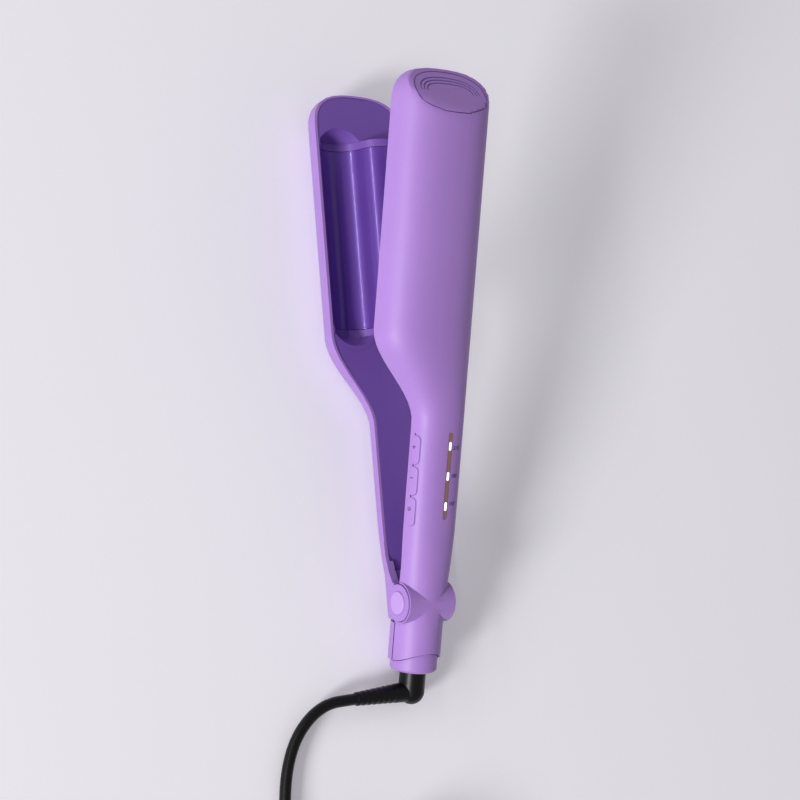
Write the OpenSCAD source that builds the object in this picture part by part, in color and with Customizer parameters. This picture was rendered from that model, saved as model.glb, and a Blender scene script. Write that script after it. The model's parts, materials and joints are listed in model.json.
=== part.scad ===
// Two-armed deep waver for hair, at rest with its arms open, lying on a table.
// Both arms are drawn in one arm frame: X runs from the hinge to the tip, Y to
// the side that carries the buttons, and Z outwards from the plane where the
// arms meet. The upper arm stands in that frame as it is, the lower arm is its
// mirror image, and both then turn about the hinge.

/* [Arms] */
// Hinge axis to tip
arm_len = 284; // [270:0.5:310]
// Angle between the open arms
open_angle = 16.4; // [14:0.1:18]
// Width of the head that carries the plates
head_w = 57.3; // [54:0.1:62]
// Sideways offset of the head from the handle
head_off = 12.4; // [8:0.1:13]
// Depth of the head from the meeting plane to its crown
head_t = 21.1; // [20.5:0.1:24]
// Width of the handle
handle_w = 30.6; // [28:0.1:34]
// Depth of the handle's shell
handle_t = 13; // [12:0.1:15]
// Height of the handle's inner face above the meeting plane
handle_rise = 4.1; // [3:0.1:6]
// Length over which the neck widens into the head
neck_len = 48.5; // [40:0.5:52]
// Length of full head before the heating plate
neck_room = 5.5; // [4:0.1:8]
// Squareness of the head's section
head_square = 2.5; // [2.2:0.05:3]
// Squareness of the handle's section
handle_square = 2.4; // [2.1:0.05:2.8]
// Wall of the shells
wall = 2; // [1.6:0.1:2.4]
// Wall of the shells at their rim
rim_w = 1.7; // [1.4:0.1:2]

/* [Tip] */
// Length over which the tip's corners round off
tip_round = 20; // [18:0.5:30]
// Thickness left at the very tip
tip_edge = 2.3; // [2:0.1:3.5]
// Rise of the slanted end face per millimetre of length
tip_slope = 0.85; // [0.65:0.01:0.95]
// Length of the slanted end beyond the oval end cap's middle
cap_back = 12; // [11:0.1:14]
// Half length of the oval end cap, across the arm
cap_across = 22.2; // [18:0.5:23]
// Half length of the oval end cap, along the slope
cap_along = 13.4; // [11:0.1:13.8]
// Depth of the recess for the oval end cap
cap_depth = 0.8; // [0.6:0.05:1]
// Distance between the grip arcs on the end cap
arc_step = 2; // [1.7:0.1:2.2]
// Width of a grip arc
arc_w = 0.8; // [0.5:0.1:1]

/* [Plates] */
// Length of the arm beyond the heating plate
tip_room = 30.5; // [28:0.5:34]
// Length of the heating plate
plate_len = 101.5; // [92:0.5:106]
// Sheet thickness of the heating plate
plate_t = 1.6; // [1.2:0.1:2]
// Height of the plate's waves above their middle
wave_depth = 9.4; // [9:0.1:9.7]
// Slope of the flanks between the waves
wave_angle = 65; // [62:1:67]
// Flat flange along each side of the plate
flange_w = 1.05; // [0.8:0.05:1.3]
// Room for hair between the closed plates
hair_gap = 1.2; // [1:0.1:2]
// Set-back of the inner faces from the meeting plane
face_back = 0.4; // [0.3:0.05:0.6]
// Length of the plastic lip at each end of the plate
lip_len = 4.2; // [3.5:0.1:5]
// Land left beside the scoop where the groove runs out
scoop_land = 1.2; // [1:0.1:1.6]
// Steepness of that scoop
scoop_tilt = 56; // [50:1:60]
// Thickness of the inner covers and frames
cover_t = 2; // [1.8:0.1:2.4]
// Length of the ceramic heating element
heater_len = 88; // [70:1:92]
// Width of the ceramic heating element
heater_w = 11.4; // [10:0.1:12]
// Thickness of the ceramic heating element
heater_t = 3.6; // [3:0.1:4]

/* [Hinge] */
// Height of the hinge axis above the meeting plane
hinge_up = 5; // [4:0.1:6]
// Radius of the boss on the upper arm
boss_r = 11.1; // [10.8:0.1:11.3]
// Radius of the ears on the lower arm
ear_r = 10; // [9.4:0.1:10.1]
// Thickness of an ear
ear_t = 4.5; // [3.8:0.1:5]
// Width over both ears
ear_span = 30.8; // [30:0.1:33]
// Radius of the hinge pin
pin_r = 3; // [2.5:0.1:3.4]
// Radius of the raised hinge cap
cap_r = 6.2; // [5.5:0.1:7]
// How far the hinge cap stands proud
cap_proud = 0.8; // [0.5:0.1:1.2]
// Wire of the torsion spring
spring_wire = 1.3; // [1:0.1:1.5]
// Mean radius of the torsion spring
spring_r = 5.6; // [5:0.1:5.8]

/* [Tail] */
// Hinge axis to the end of the collar
tail_end = 38; // [36:0.5:42]
// Radius of the tail housing
tail_r = 14.2; // [13.8:0.1:14.8]
// Height of the tail's axis above the meeting plane
tail_up = 1.8; // [1:0.1:2.5]
// Length of the tail housing's sides
tail_side = 32; // [30:0.5:33]
// Length of the tail housing at the middle of its arched edge
tail_arch = 26.5; // [25:0.5:28]
// Radius of that arch
arch_r = 22; // [20:0.5:30]
// Radius of the collar
collar_r = 12.8; // [12.4:0.1:12.9]
// Edge rounding of the collar
collar_round = 2; // [1:0.1:2.5]
// Radius of the swivel neck
neck_r = 7.2; // [6.5:0.1:7.6]

/* [Controls] */
// Length of a push button
button_len = 15.4; // [12:0.1:16]
// Width of a push button
button_w = 5; // [4:0.1:5.6]
// Distance between push buttons
button_pitch = 16.6; // [16.2:0.1:19]
// Middle of the power button, from the hinge
button_first = 50.2; // [48:0.1:56]
// Travel of a push button
button_travel = 0.7; // [0.4:0.05:0.7]
// How far a push button stands proud of the side wall
button_proud = 0.3; // [0.1:0.05:0.5]
// Start of the metal light bar, from the hinge
bar_start = 47; // [44:0.5:50]
// Length of the metal light bar
bar_len = 46.5; // [44:0.5:50]
// Width of the metal light bar
bar_w = 2.1; // [1.6:0.1:3]
// Sideways place of the light bar, away from the buttons
bar_side = 2; // [1:0.1:3]
// First lit window, from the hinge
window_first = 54; // [52:0.5:56]
// Distance between lit windows
window_pitch = 16.2; // [14:0.1:17]
// Length of a lit window
window_len = 4.6; // [3:0.1:6]

/* [Cord] */
// Diameter of the power cord
cord_d = 6.2; // [5:0.1:7]
// Length of the strain relief from the swivel's axis
relief_len = 36; // [30:0.5:45]
// Angle of the strain relief from square to the swivel's axis
relief_tilt = 3; // [0:1:12]
// Middle radius of the coil's turns
coil_mid = 34.4; // [33:0.1:37]
// Radial step between the coil's turns
coil_step = 7.8; // [7.8:0.1:9]
// Height of one layer of the coil
coil_rise = 7; // [7:0.1:8]
// Turns in one layer of the coil
coil_layer = 1.625; // [1.625]
// Width of the plug at its pins
plug_w = 35.3; // [34:0.1:36]
// Thickness of the plug
plug_t = 13.7; // [13:0.1:14.5]
// Length of the plug's body
plug_len = 34; // [30:0.5:38]
// Radius of a plug pin
plug_pin_r = 2; // [1.9:0.05:2.4]
// Length of a plug pin
plug_pin_len = 19; // [18:0.5:20]
// Distance between the plug pins
plug_pin_gap = 18.6; // [18:0.1:19.2]

/* [Clearances] */
// Gap along the parting lines
seam = 0.25; // [0.15:0.05:0.4]
// Room left between the closed arms
close_gap = 0.1; // [0.05:0.01:0.2]
// Radial play of turning fits
play = 0.05; // [0.03:0.01:0.08]
// Gap between loosely seated inner pieces
seat = 0.3; // [0.2:0.05:0.4]

/* [Hidden] */
$fn = 48;

lilac = [0.78, 0.62, 0.90];
lilac_deep = [0.50, 0.35, 0.66];
plate_violet = [0.45, 0.34, 0.62];
gold = [0.80, 0.64, 0.44];
steel = [0.72, 0.73, 0.75];
ceramic_white = [0.90, 0.88, 0.84];
board_green = [0.10, 0.36, 0.24];
rubber_black = [0.07, 0.07, 0.08];
silicone_grey = [0.55, 0.55, 0.58];

// Meeting of the two arms and the heights above the table
plate_end = arm_len - tip_room;
plate_start = plate_end - plate_len;
neck_end = plate_start - neck_room;
neck_start = neck_end - neck_len;
head_left = head_w / 2 + head_off;
head_right = head_w / 2 - head_off;
handle_out = handle_rise + handle_t;
root_end = 45;
crown_root = 30;
lower_root_out = 11.8;
lower_root_start = -3;
lower_cover_from = 18.6;
rim_lap = 0.15;
tail_low = tail_side * sin(open_angle) + (hinge_up - tail_up + tail_r) * cos(open_angle);
collar_reach = (tail_end - collar_round) * cos(open_angle)
    + (tail_up + collar_r - collar_round - hinge_up) * sin(open_angle) + collar_round;
hinge_at = [(collar_reach - arm_len) / 2, -head_off, tail_low];

function lerp(a, b, t) = a + (b - a) * t;
function ease(t) = let (c = max(0, min(1, t))) c * c * (3 - 2 * c);
function spread(x) = ease((x - neck_start) / (neck_end - neck_start));
function rooted(x) = 1 - ease(x / root_end);

// Outline of an arm, seen square to the meeting plane
function left_at(x) = lerp(lerp(handle_w / 2, tail_r, rooted(x)), head_left, spread(x));
function right_at(x) = lerp(lerp(handle_w / 2, tail_r, rooted(x)), head_right, spread(x));
function middle_at(x) = (left_at(x) - right_at(x)) / 2;
tip_start = arm_len - tip_round;
tip_power = 2.8;
tip_thin = 0.6;
function rounded(x, cut) = x <= tip_start ? 1 :
    pow(1 - pow(min(1, (x - tip_start) / (tip_round - cut * tip_thin)), tip_power), 1 / tip_power);
function half_at(x, cut) = ((left_at(x) + right_at(x)) / 2 - cut) * rounded(x, cut);

// Inner plane, crown and slanted end face of an arm
function plane_at(x, root_plane) =
    lerp(lerp(handle_rise, root_plane, 1 - ease((x + 4) / 16)), close_gap / 2, spread(x));
function crown_at(x, root_out) = lerp(lerp(root_out, handle_out, ease(x / crown_root)), head_t, spread(x));
function bevel_at(x) = tip_edge + (arm_len - x) * tip_slope;
function square_at(x) = lerp(lerp(handle_square, 2, rooted(x)), head_square, spread(x));
edge_power = 20;
function soft_min(a, b) = a <= 0 ? 0 : a * pow(1 + pow(a / b, edge_power), -1 / edge_power);
function signed_pow(c, e) = sign(c) * pow(abs(c), e);

// Stations along an arm: close together at the neck, at the edge of the slanted
// end face and round the tip
head_from = neck_end + 4;
bevel_from = arm_len - (head_t - tip_edge) / tip_slope;
tip_stations = 9;
function stations(from, to, fine) = concat(
    from >= head_from ? [from] : concat(
        [for (i = [0:fine]) lerp(from, neck_start - 6, i / fine)],
        [for (i = [1:2 * fine]) lerp(neck_start - 6, head_from, i / (2 * fine))],
        [for (i = [1:3]) lerp(head_from, bevel_from - 6, i / 3)]),
    [bevel_from - 2.5, bevel_from],
    [for (i = [1:tip_stations]) lerp(bevel_from, to, sin(90 * i / tip_stations))]);

// Angles round a section, closer together near the rim
function ring_angle(t) = t <= 1 ? 90 * pow(t, 1.4) : 180 - 90 * pow(2 - t, 1.4);

// Solid of an arm, from its inner plane to its crown, drawn in by a wall
module arm_blank(from, root_plane, root_out, side_cut = 0, top_cut = 0, lap = 0, fine = 7, n = 24) {
    to = arm_len - side_cut * tip_thin - 0.02;
    xs = stations(from, to, fine);
    function ring(x) = let (
        base = plane_at(x, root_plane) - lap,
        rise = crown_at(x, root_out) - top_cut - base,
        ceiling = bevel_at(x) - top_cut - base,
        e = 2 / square_at(x))
        [for (i = [0:n]) let (a = ring_angle(2 * i / n)) [x,
            middle_at(x) + half_at(x, side_cut) * signed_pow(cos(a), e),
            base + soft_min(rise * pow(abs(sin(a)), e), ceiling)]];
    m = n + 1;
    last = len(xs) - 1;
    points = [for (x = xs) each ring(x)];
    sides = [for (j = [0:last - 1], i = [0:m - 1]) let (
        a = j * m + i,
        b = j * m + (i + 1) % m)
        each [[a, a + m, b], [b, a + m, b + m]]];
    ends = [[for (i = [0:m - 1]) i], [for (i = [m - 1:-1:0]) last * m + i]];
    polyhedron(points, concat(sides, ends), convexity = 6);
}

// Flat outline of what lies inside a shell's rim
function edge_points(from, to, cut, fine) = let (
    step = (to - from) / fine,
    xs = [for (i = [0:fine]) from + i * step])
    concat([for (x = xs) [x, middle_at(x) + half_at(x, cut)]],
        [for (i = [fine:-1:0]) [xs[i], middle_at(xs[i]) - half_at(xs[i], cut)]]);
inner_cut = rim_w + seam;

module slot_2d(len, w) {
    square([len - w, w], center = true);
    for (s = [-1, 1]) translate([s * (len - w) / 2, 0]) circle(d = w);
}

// ---- Wave of the plates: two arcs and straight flanks, offset along its normal ----
wave_p = head_w / 2 - inner_cut - flange_w;
wave_d = wave_depth;
wave_r = (wave_p / 2 * tan(wave_angle) - wave_d) / (1 / cos(wave_angle) - 1);
wave_steps = 12;
function wave_points(side, off) = [for (q = concat(
    [[-wave_p + off * sin(wave_angle), off * cos(wave_angle)]],
    [for (i = [-wave_steps:wave_steps]) let (a = wave_angle * i / wave_steps)
        [-wave_p / 2 + (wave_r - off) * sin(a), wave_r - wave_d - (wave_r - off) * cos(a)]],
    [for (i = [-wave_steps:wave_steps]) let (a = wave_angle * i / wave_steps)
        [wave_p / 2 + (wave_r + off) * sin(a), wave_d - wave_r + (wave_r + off) * cos(a)]],
    [[wave_p + off * sin(wave_angle), off * cos(wave_angle)]])) [side * q[0], q[1]]];
function backwards(list) = [for (i = [len(list) - 1:-1:0]) list[i]];
module wave_band(side, near, far) {
    intersection() {
        polygon(concat(wave_points(side, near), backwards(wave_points(side, far))));
        translate([-wave_p - flange_w, -40]) square([2 * (wave_p + flange_w), 80]);
    }
}
// Stands a YZ profile up along X
module along_x(from, to) {
    translate([from, head_off, 0]) rotate([90, 0, 90]) linear_extrude(to - from) children();
}

plate_top = hair_gap / 2;
lip_top = plate_top - 0.15;
groove_floor = wave_d + lip_top;

// Radius of the scoop, from its width and depth where it meets the lip
scoop_step = 0.06;
scoop_rise = (groove_floor - scoop_step - face_back) * cos(scoop_tilt);
scoop_half = wave_p / 2 + flange_w - scoop_land;
scoop_r = (scoop_half * scoop_half + scoop_rise * scoop_rise) / 2 / scoop_rise;

// Groove that runs through an end lip and out of the face in a steep scoop
module groove_cut(side, at, dir, extra = 0) {
    y = head_off + side * wave_p / 2;
    mid = groove_floor - scoop_step - scoop_r / cos(scoop_tilt);
    intersection() {
        translate([at, y, mid]) rotate([0, dir * (scoop_tilt - 90), 0])
            translate([0, 0, -60]) cylinder(r = scoop_r + extra, h = 120, $fn = 72);
        translate([dir > 0 ? at - 0.01 : at - 40, y - 30, face_back - 5]) cube([40.01, 60, 40]);
    }
}
module end_lip(side, from, to) {
    along_x(from, to) wave_band(side, lip_top, lip_top + cover_t);
}

// Slanted plane of the tip: local X up the slope towards the tip, Z out of the face
bevel_tilt = atan(tip_slope);
cap_mid_x = arm_len - cap_back;
oval_power = 0.85;
module on_bevel() {
    translate([cap_mid_x, head_off, bevel_at(cap_mid_x)]) rotate([0, bevel_tilt, 0]) children();
}
function oval(across, along, from = 0, to = 360, steps = 40) =
    [for (i = [0:steps]) let (a = lerp(from, to, i / steps))
        [along * signed_pow(cos(a), oval_power), across * signed_pow(sin(a), oval_power)]];

// Places in the world
module upper() {
    translate(hinge_at) rotate([0, -open_angle, 0]) translate([0, 0, -hinge_up]) children();
}
module lower() {
    translate(hinge_at) translate([0, 0, -hinge_up]) mirror([0, 0, 1]) children();
}
module across(r, from, to) {
    translate([0, from, hinge_up]) rotate([-90, 0, 0]) cylinder(r = r, h = to - from);
}

boss_half = ear_span / 2 - ear_t - 0.2;
pocket_r = ear_r + 0.3;
chamber_r = spring_r + spring_wire / 2 + 0.8;
chamber_half = 5;
ear_bore = pin_r + play;
button_z = 9;
button_back = 12.45;
board_z = 8.2;
board_t = 1.2;
board_from = 30;
board_to = 112;
board_left = 9.4;
board_right = -11;
post_x = [36, 104];
post_y = -6;
post_r = 2.6;
screw_r = 1;
bar_t = 0.8;
bar_z = handle_out - bar_t + 0.02;
button_names_at = [0, 1, 2];

// ---- Upper arm ----
module upper_shell() {
    color(lilac) upper() difference() {
        union() {
            difference() {
                arm_blank(-tail_side, tail_up, tail_up + tail_r);
                arm_blank(-tail_side - 1, tail_up, tail_up + tail_r, rim_w, wall, rim_lap, 7, 14);
            }
            across(boss_r, -boss_half, boss_half);
            boss_cups();
            for (x = post_x) translate([x, post_y, board_z + board_t])
                cylinder(r = post_r, h = handle_out - wall / 2 - board_z - board_t);
        }
        ear_pockets();
        translate([0, 0, tail_up]) rotate([0, -90, 0]) translate([0, 0, collar_from - 0.3])
            cylinder(r = collar_r + 0.15, h = 30, $fn = 96);
        across(pin_r + play, -20, 20);
        across(chamber_r, -chamber_half, chamber_half);
        spring_slots();
        translate([-tail_arch - arch_r, 0, tail_up - 1]) cylinder(r = arch_r, h = 30, $fn = 96);
        for (i = button_names_at) button_form(i, seam, button_back - 2, 20);
        bar_form(seam / 2, bar_z - 0.02, 5);
        for (i = [0:2]) window_form(i, seam / 2, handle_out - wall - 2, wall + 4);
        for (x = post_x) translate([x, post_y, board_z]) cylinder(r = screw_r + play, h = 7);
        cap_form(seam, -cap_depth, 6);
    }
}
// Each end of the boss is a cup round the ear, open where the ear's web swings
module boss_cups() {
    difference() {
        across(boss_r, -ear_side + 0.7, ear_side - 0.7);
        translate([-40, -30, -30]) cube([40, 60, 30 + tail_up]);
        translate([-0.01, -30, -30]) cube([40, 60, 30 + hinge_up - 0.6]);
    }
}
module ear_pockets() {
    for (s = [-1, 1]) translate([0, s * (boss_half + 10), hinge_up]) rotate([90, 0, 0])
        cylinder(r = pocket_r, h = 20, center = true);
}
module spring_slots() {
    for (s = [-1, 1]) translate([0, s * (chamber_half - 2.2), hinge_up + s * (spring_r - 0.1)])
        translate([0, -1.2, -1.2]) cube([boss_r + 4, 2.4, 2.4]);
}
module button_form(i, gap, from, to) {
    translate([button_first + i * button_pitch, to, button_z]) rotate([90, 0, 0])
        linear_extrude(to - from) slot_2d(button_len + 2 * gap, button_w + 2 * gap);
}
module bar_form(gap, from, h) {
    translate([bar_start + bar_len / 2, -bar_side, from])
        linear_extrude(h) slot_2d(bar_len + 2 * gap, bar_w + 2 * gap);
}
module window_form(i, gap, from, h) {
    translate([window_first + i * window_pitch, -bar_side, from])
        linear_extrude(h) slot_2d(window_len + 2 * gap, bar_w - 0.5 + 2 * gap);
}
module cap_form(gap, from, h) {
    on_bevel() translate([0, 0, from]) linear_extrude(h) polygon(oval(cap_across + gap, cap_along + gap));
}

// Inner cover of an arm: follows the inner plane along the handle and widens
// into the head, where it ends in the plate's lip and the scoop
module inner_cover(side, root_plane, from) {
    face_end = plate_start - seam;
    lip_at = face_end - lip_len;
    xs = concat([for (i = [0:4]) lerp(from, neck_start, i / 4)],
        [for (i = [1:10]) lerp(neck_start, neck_end, i / 10)], [face_end]);
    difference() {
        intersection() {
            translate([0, 0, -20]) linear_extrude(60)
                polygon(edge_points(from, face_end, inner_cut, 36));
            union() {
                translate([0, 40, 0]) rotate([90, 0, 0]) linear_extrude(80) polygon(concat(
                    [for (x = xs) [x, plane_at(x, root_plane) + face_back * spread(x)]],
                    [for (x = backwards(xs)) [x, plane_at(x, root_plane) + face_back * spread(x) + cover_t]]));
                end_lip(side, lip_at, face_end);
                difference() {
                    groove_cut(side, lip_at, -1, cover_t);
                    translate([lip_at - 60, -60, face_back - 10]) cube([120, 120, 10]);
                }
            }
        }
        groove_cut(side, lip_at, -1);
        along_x(lip_at, face_end + 1) lip_air(side);
        if (side > 0) hinge_room(from);
    }
}
// Air over a lip: what the wave leaves free, down into the groove
module lip_air(side) {
    polygon(concat(wave_points(side, lip_top), [[side * wave_p, -40], [-side * wave_p, -40]]));
}
module hinge_room(from) {
    translate([0, 20, hinge_up]) rotate([90, 0, 0]) cylinder(r = boss_r + 0.6, h = 40);
}
module upper_inner_cover() {
    color(lilac_deep) upper() inner_cover(-1, tail_up, boss_r + 1.2);
}

frame_t = 1;
// Tip frame: the flat inner face beyond the plate, with the other lip and scoop
module tip_frame(side) {
    from = plate_end + seam;
    lip_at = from + lip_len;
    to = arm_len - max(inner_cut * tip_thin + 0.1,
        (wall + frame_t + face_back + 0.1 - tip_edge) / tip_slope);
    difference() {
        intersection() {
            translate([0, 0, -20]) linear_extrude(60) polygon(tip_outline(from, to));
            union() {
                translate([from, -60, face_back]) cube([60, 120, frame_t]);
                end_lip(side, from, lip_at);
                difference() {
                    groove_cut(side, lip_at, 1, cover_t);
                    translate([lip_at - 60, -60, face_back - 10]) cube([120, 120, 10]);
                }
            }
        }
        groove_cut(side, lip_at, 1);
        along_x(from - 1, lip_at) lip_air(side);
    }
}
function tip_outline(from, to) = let (
    xs = concat([from], [for (i = [0:14]) lerp(tip_start, to, sin(6 * i + 6))]))
    concat([for (x = xs) [x, middle_at(x) + half_at(x, inner_cut)]],
        [for (x = backwards(xs)) [x, middle_at(x) - half_at(x, inner_cut)]]);
module upper_tip_frame() {
    color(lilac_deep) upper() tip_frame(-1);
}

// Oval end cap with three grip arcs, flush with the slanted face
module tip_cap(root_plane, root_out) {
    difference() {
        intersection() {
            arm_blank(max(head_from, bevel_from - 8), root_plane, root_out);
            cap_form(0, -cap_depth + 0.05, 6);
        }
        on_bevel() for (i = [1:3]) translate([0, 0, -arc_deep]) linear_extrude(6) grip_arc(i);
    }
}
arc_deep = 0.35;
module grip_arc(i) {
    inset = 1.4 + i * arc_step;
    polygon(concat(oval(cap_across - inset, cap_along - inset, -92, 92, 24),
        backwards(oval(cap_across - inset - arc_w, cap_along - inset - arc_w, -92, 92, 24))));
}
module upper_tip_cap() {
    color(lilac) upper() tip_cap(tail_up, tail_up + tail_r);
}

// Wave-shaped heating plate: one extrusion with flanges, and behind its ridge
// the seat and the two ribs that hold the heating element
rib_t = 1.5;
slot_half = heater_w / 2 + 0.2;
plate_back = plate_top + plate_t;
heater_z = plate_back - wave_d + 1.9;
heater_from = plate_start + (plate_len - heater_len) / 2;
function flank_x(off, z) = off * sin(wave_angle) - (z - off * cos(wave_angle)) / tan(wave_angle);
function trough(off, from, to) = [for (i = [0:wave_steps]) let (a = lerp(from, to, i / wave_steps))
    [-wave_p / 2 + (wave_r - off) * sin(a), wave_r - wave_d - (wave_r - off) * cos(a)]];
function crest(off, from, to) = [for (i = [0:2 * wave_steps]) let (a = lerp(from, to, i / wave_steps / 2))
    [wave_p / 2 + (wave_r + off) * sin(a), wave_d - wave_r + (wave_r + off) * cos(a)]];
rib_out = slot_half + rib_t;
rib_at = asin(rib_out / (wave_r - plate_back));
foot_at = asin(min(sin(wave_angle), (wave_p / 2 + flange_w) / (wave_r + plate_back)));
foot_gap = wave_p / 2 + flange_w - (wave_r + plate_back) * sin(foot_at);
foot_z = wave_d - wave_r + (wave_r + plate_back) * cos(foot_at);
plate_outline = concat(
    [[-wave_p - flange_w, face_back], [flank_x(plate_top, face_back) - wave_p, face_back]],
    trough(plate_top, -wave_angle, 0),
    trough(plate_top, 0.01, wave_angle),
    crest(plate_top, -wave_angle, wave_angle),
    [[wave_p + flank_x(plate_top, face_back), face_back], [wave_p + flange_w, face_back]],
    foot_gap > 0.01 ? [[wave_p + flange_w, foot_z - foot_gap * tan(wave_angle)]] : [],
    crest(plate_back, foot_at, -wave_angle),
    trough(plate_back, wave_angle, rib_at),
    [for (q = [[rib_out, heater_z + heater_t], [slot_half, heater_z + heater_t], [slot_half, heater_z - 0.05],
        [-slot_half, heater_z - 0.05], [-slot_half, heater_z + heater_t], [-rib_out, heater_z + heater_t]])
        [q[0] - wave_p / 2, q[1]]],
    trough(plate_back, -rib_at, -wave_angle),
    [[flank_x(plate_back, face_back + plate_t) - wave_p, face_back + plate_t],
        [-wave_p - flange_w, face_back + plate_t]]);
module heating_plate(side) {
    along_x(plate_start, plate_end) polygon([for (q = plate_outline) [side * q[0], q[1]]]);
}
module upper_plate() {
    color(plate_violet) upper() heating_plate(-1);
}
module heater(side) {
    y = head_off - side * wave_p / 2;
    translate([heater_from, y - heater_w / 2, heater_z]) cube([heater_len, heater_w, heater_t]);
}
module upper_heater() {
    color(ceramic_white) upper() heater(-1);
}
// Spring clip: a steel channel that holds the element in its slot
clip_t = 0.8;
module heater_clip(side) {
    y = head_off - side * wave_p / 2;
    w = 2 * (slot_half + rib_t) + 2 * (clip_t + 0.1);
    top = heater_z + heater_t + 0.1;
    for (i = [0:2]) translate([heater_from + heater_len * (1 + 2 * i) / 6 - 6, y - w / 2, 0]) {
        translate([0, 0, top]) cube([12, w, clip_t]);
        for (e = [0, w - clip_t]) translate([0, e, top - 1.6]) cube([12, clip_t, 1.6 + clip_t / 2]);
    }
}
module upper_heater_clip() {
    color(steel) upper() heater_clip(-1);
}
// Silicone pads that carry the plate on the shell's crown
pad_len = 9;
pad_w = 11;
pad_inset = 22;
module plate_pads(side) {
    y = head_off + side * wave_p / 2;
    floor_z = wave_d + plate_top + plate_t + 0.05;
    u = (wave_p / 2 + pad_w / 2) / (head_w / 2 - rim_w);
    crown = (head_t - wall + rim_lap) * pow(1 - pow(u, head_square), 1 / head_square) - rim_lap;
    for (x = [plate_start + pad_inset, plate_end - pad_inset]) translate([x - pad_len / 2, y - pad_w / 2, floor_z])
        cube([pad_len, pad_w, crown - seat - floor_z]);
}
module upper_plate_pads() {
    color(silicone_grey) upper() plate_pads(-1);
}

// ---- Tail of the upper arm ----
tail_cover_top = 11.6;
collar_from = tail_arch - 6;
module tail_cover() {
    color(lilac) upper() translate([0, 0, tail_up]) intersection() {
        rotate([0, -90, 0]) difference() {
            cylinder(r = tail_r, h = tail_side, $fn = 96);
            translate([0, 0, tail_cover_top + 1.5]) cylinder(r = tail_r - 1.1, h = tail_side, $fn = 96);
        }
        difference() {
            translate([-tail_side, -20, -20]) cube([tail_side - tail_cover_top, 40, 20 - seam]);
            translate([0, 20, hinge_up - tail_up]) rotate([90, 0, 0]) cylinder(r = boss_r + 0.3, h = 40);
        }
    }
}
module tail_collar() {
    color(lilac) upper() translate([0, 0, tail_up]) rotate([0, -90, 0]) rotate_extrude($fn = 96)
        difference() {
            union() {
                translate([0, collar_from]) square([collar_r, tail_end - collar_from - collar_round]);
                translate([0, tail_end - collar_round - 0.01])
                    square([collar_r - collar_round, collar_round + 0.01]);
                translate([collar_r - collar_round, tail_end - collar_round]) circle(r = collar_round);
            }
            translate([0, collar_from - 1]) square([collar_r - 1.6, collar_floor - collar_from + 1]);
            square([neck_r + play, 60]);
        }
}
collar_floor = tail_end - 3;
flange_top = collar_floor - 2.2;
module swivel_socket() {
    color(rubber_black) upper() translate([-flange_top + 0.3, 0, tail_up]) rotate([0, 90, 0])
        difference() {
            cylinder(r = collar_r - 1.6 - 0.15, h = 6);
            translate([0, 0, -1]) cylinder(r = 2 + play, h = 5);
        }
}

// ---- Controls ----
module light_bar() {
    color(gold) upper() difference() {
        bar_form(0, bar_z, bar_t);
        for (i = [0:2]) window_form(i, 0.05, bar_z - 1, 4);
    }
}
module light_windows() {
    color("white") upper() for (i = [0:2]) window_form(i, 0, board_z + board_t + 1.3,
        handle_out - board_z - board_t - 1.3 - 0.1);
}
module circuit_board() {
    color(board_green) upper() difference() {
        translate([board_from, board_right, board_z])
            cube([board_to - board_from, board_left - board_right, board_t]);
        for (x = post_x) translate([x, post_y, 0]) cylinder(r = screw_r + 0.15, h = 20);
    }
}
module indicator_leds() {
    color("white") upper() for (i = [0:2])
        translate([window_first + i * window_pitch - 1.4, -bar_side - 0.8, board_z + board_t])
            cube([2.8, 1.6, 0.9]);
}
module tact_switches() {
    color(steel) upper() for (i = button_names_at)
        translate([button_first + i * button_pitch, 0, board_z + board_t]) {
            translate([-3, board_left - 3.6, 0]) cube([6, 3.6, 2.2]);
            translate([0, board_left, 1.1]) rotate([-90, 0, 0])
                cylinder(r = 0.9, h = button_back - button_travel - 0.15 - board_left);
        }
}
module board_screws() {
    color(steel) upper() for (x = post_x) translate([x, post_y, board_z]) {
        cylinder(r = screw_r, h = 6);
        translate([0, 0, -1.4]) cylinder(r = 1.9, h = 1.4);
    }
}
// The buttons' faces follow the side wall: a circle through three of its points
function side_wall_y(z) = handle_w / 2
    * pow(1 - pow((z - handle_rise) / handle_t, handle_square), 1 / handle_square);
half_w = button_w / 2;
wall_low = side_wall_y(button_z - half_w);
wall_mid = side_wall_y(button_z);
wall_high = side_wall_y(button_z + half_w);
face_y = (2 * half_w * half_w + wall_low * wall_low + wall_high * wall_high - 2 * wall_mid * wall_mid)
    / 2 / (wall_low + wall_high - 2 * wall_mid);
face_z = (2 * face_y * (wall_low - wall_mid) - half_w * half_w - wall_low * wall_low + wall_mid * wall_mid)
    / 2 / half_w;
face_r = norm([face_y - wall_mid, face_z]);
module push_button(i) {
    color(lilac) upper() intersection() {
        button_form(i, 0, button_back, 20);
        translate([button_first + i * button_pitch - button_len, face_y, button_z + face_z])
            rotate([0, 90, 0]) cylinder(r = face_r + button_proud, h = 2 * button_len, $fn = 120);
    }
}
module plus_button() {
    push_button(2);
}
module minus_button() {
    push_button(1);
}
module power_button() {
    push_button(0);
}

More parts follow.
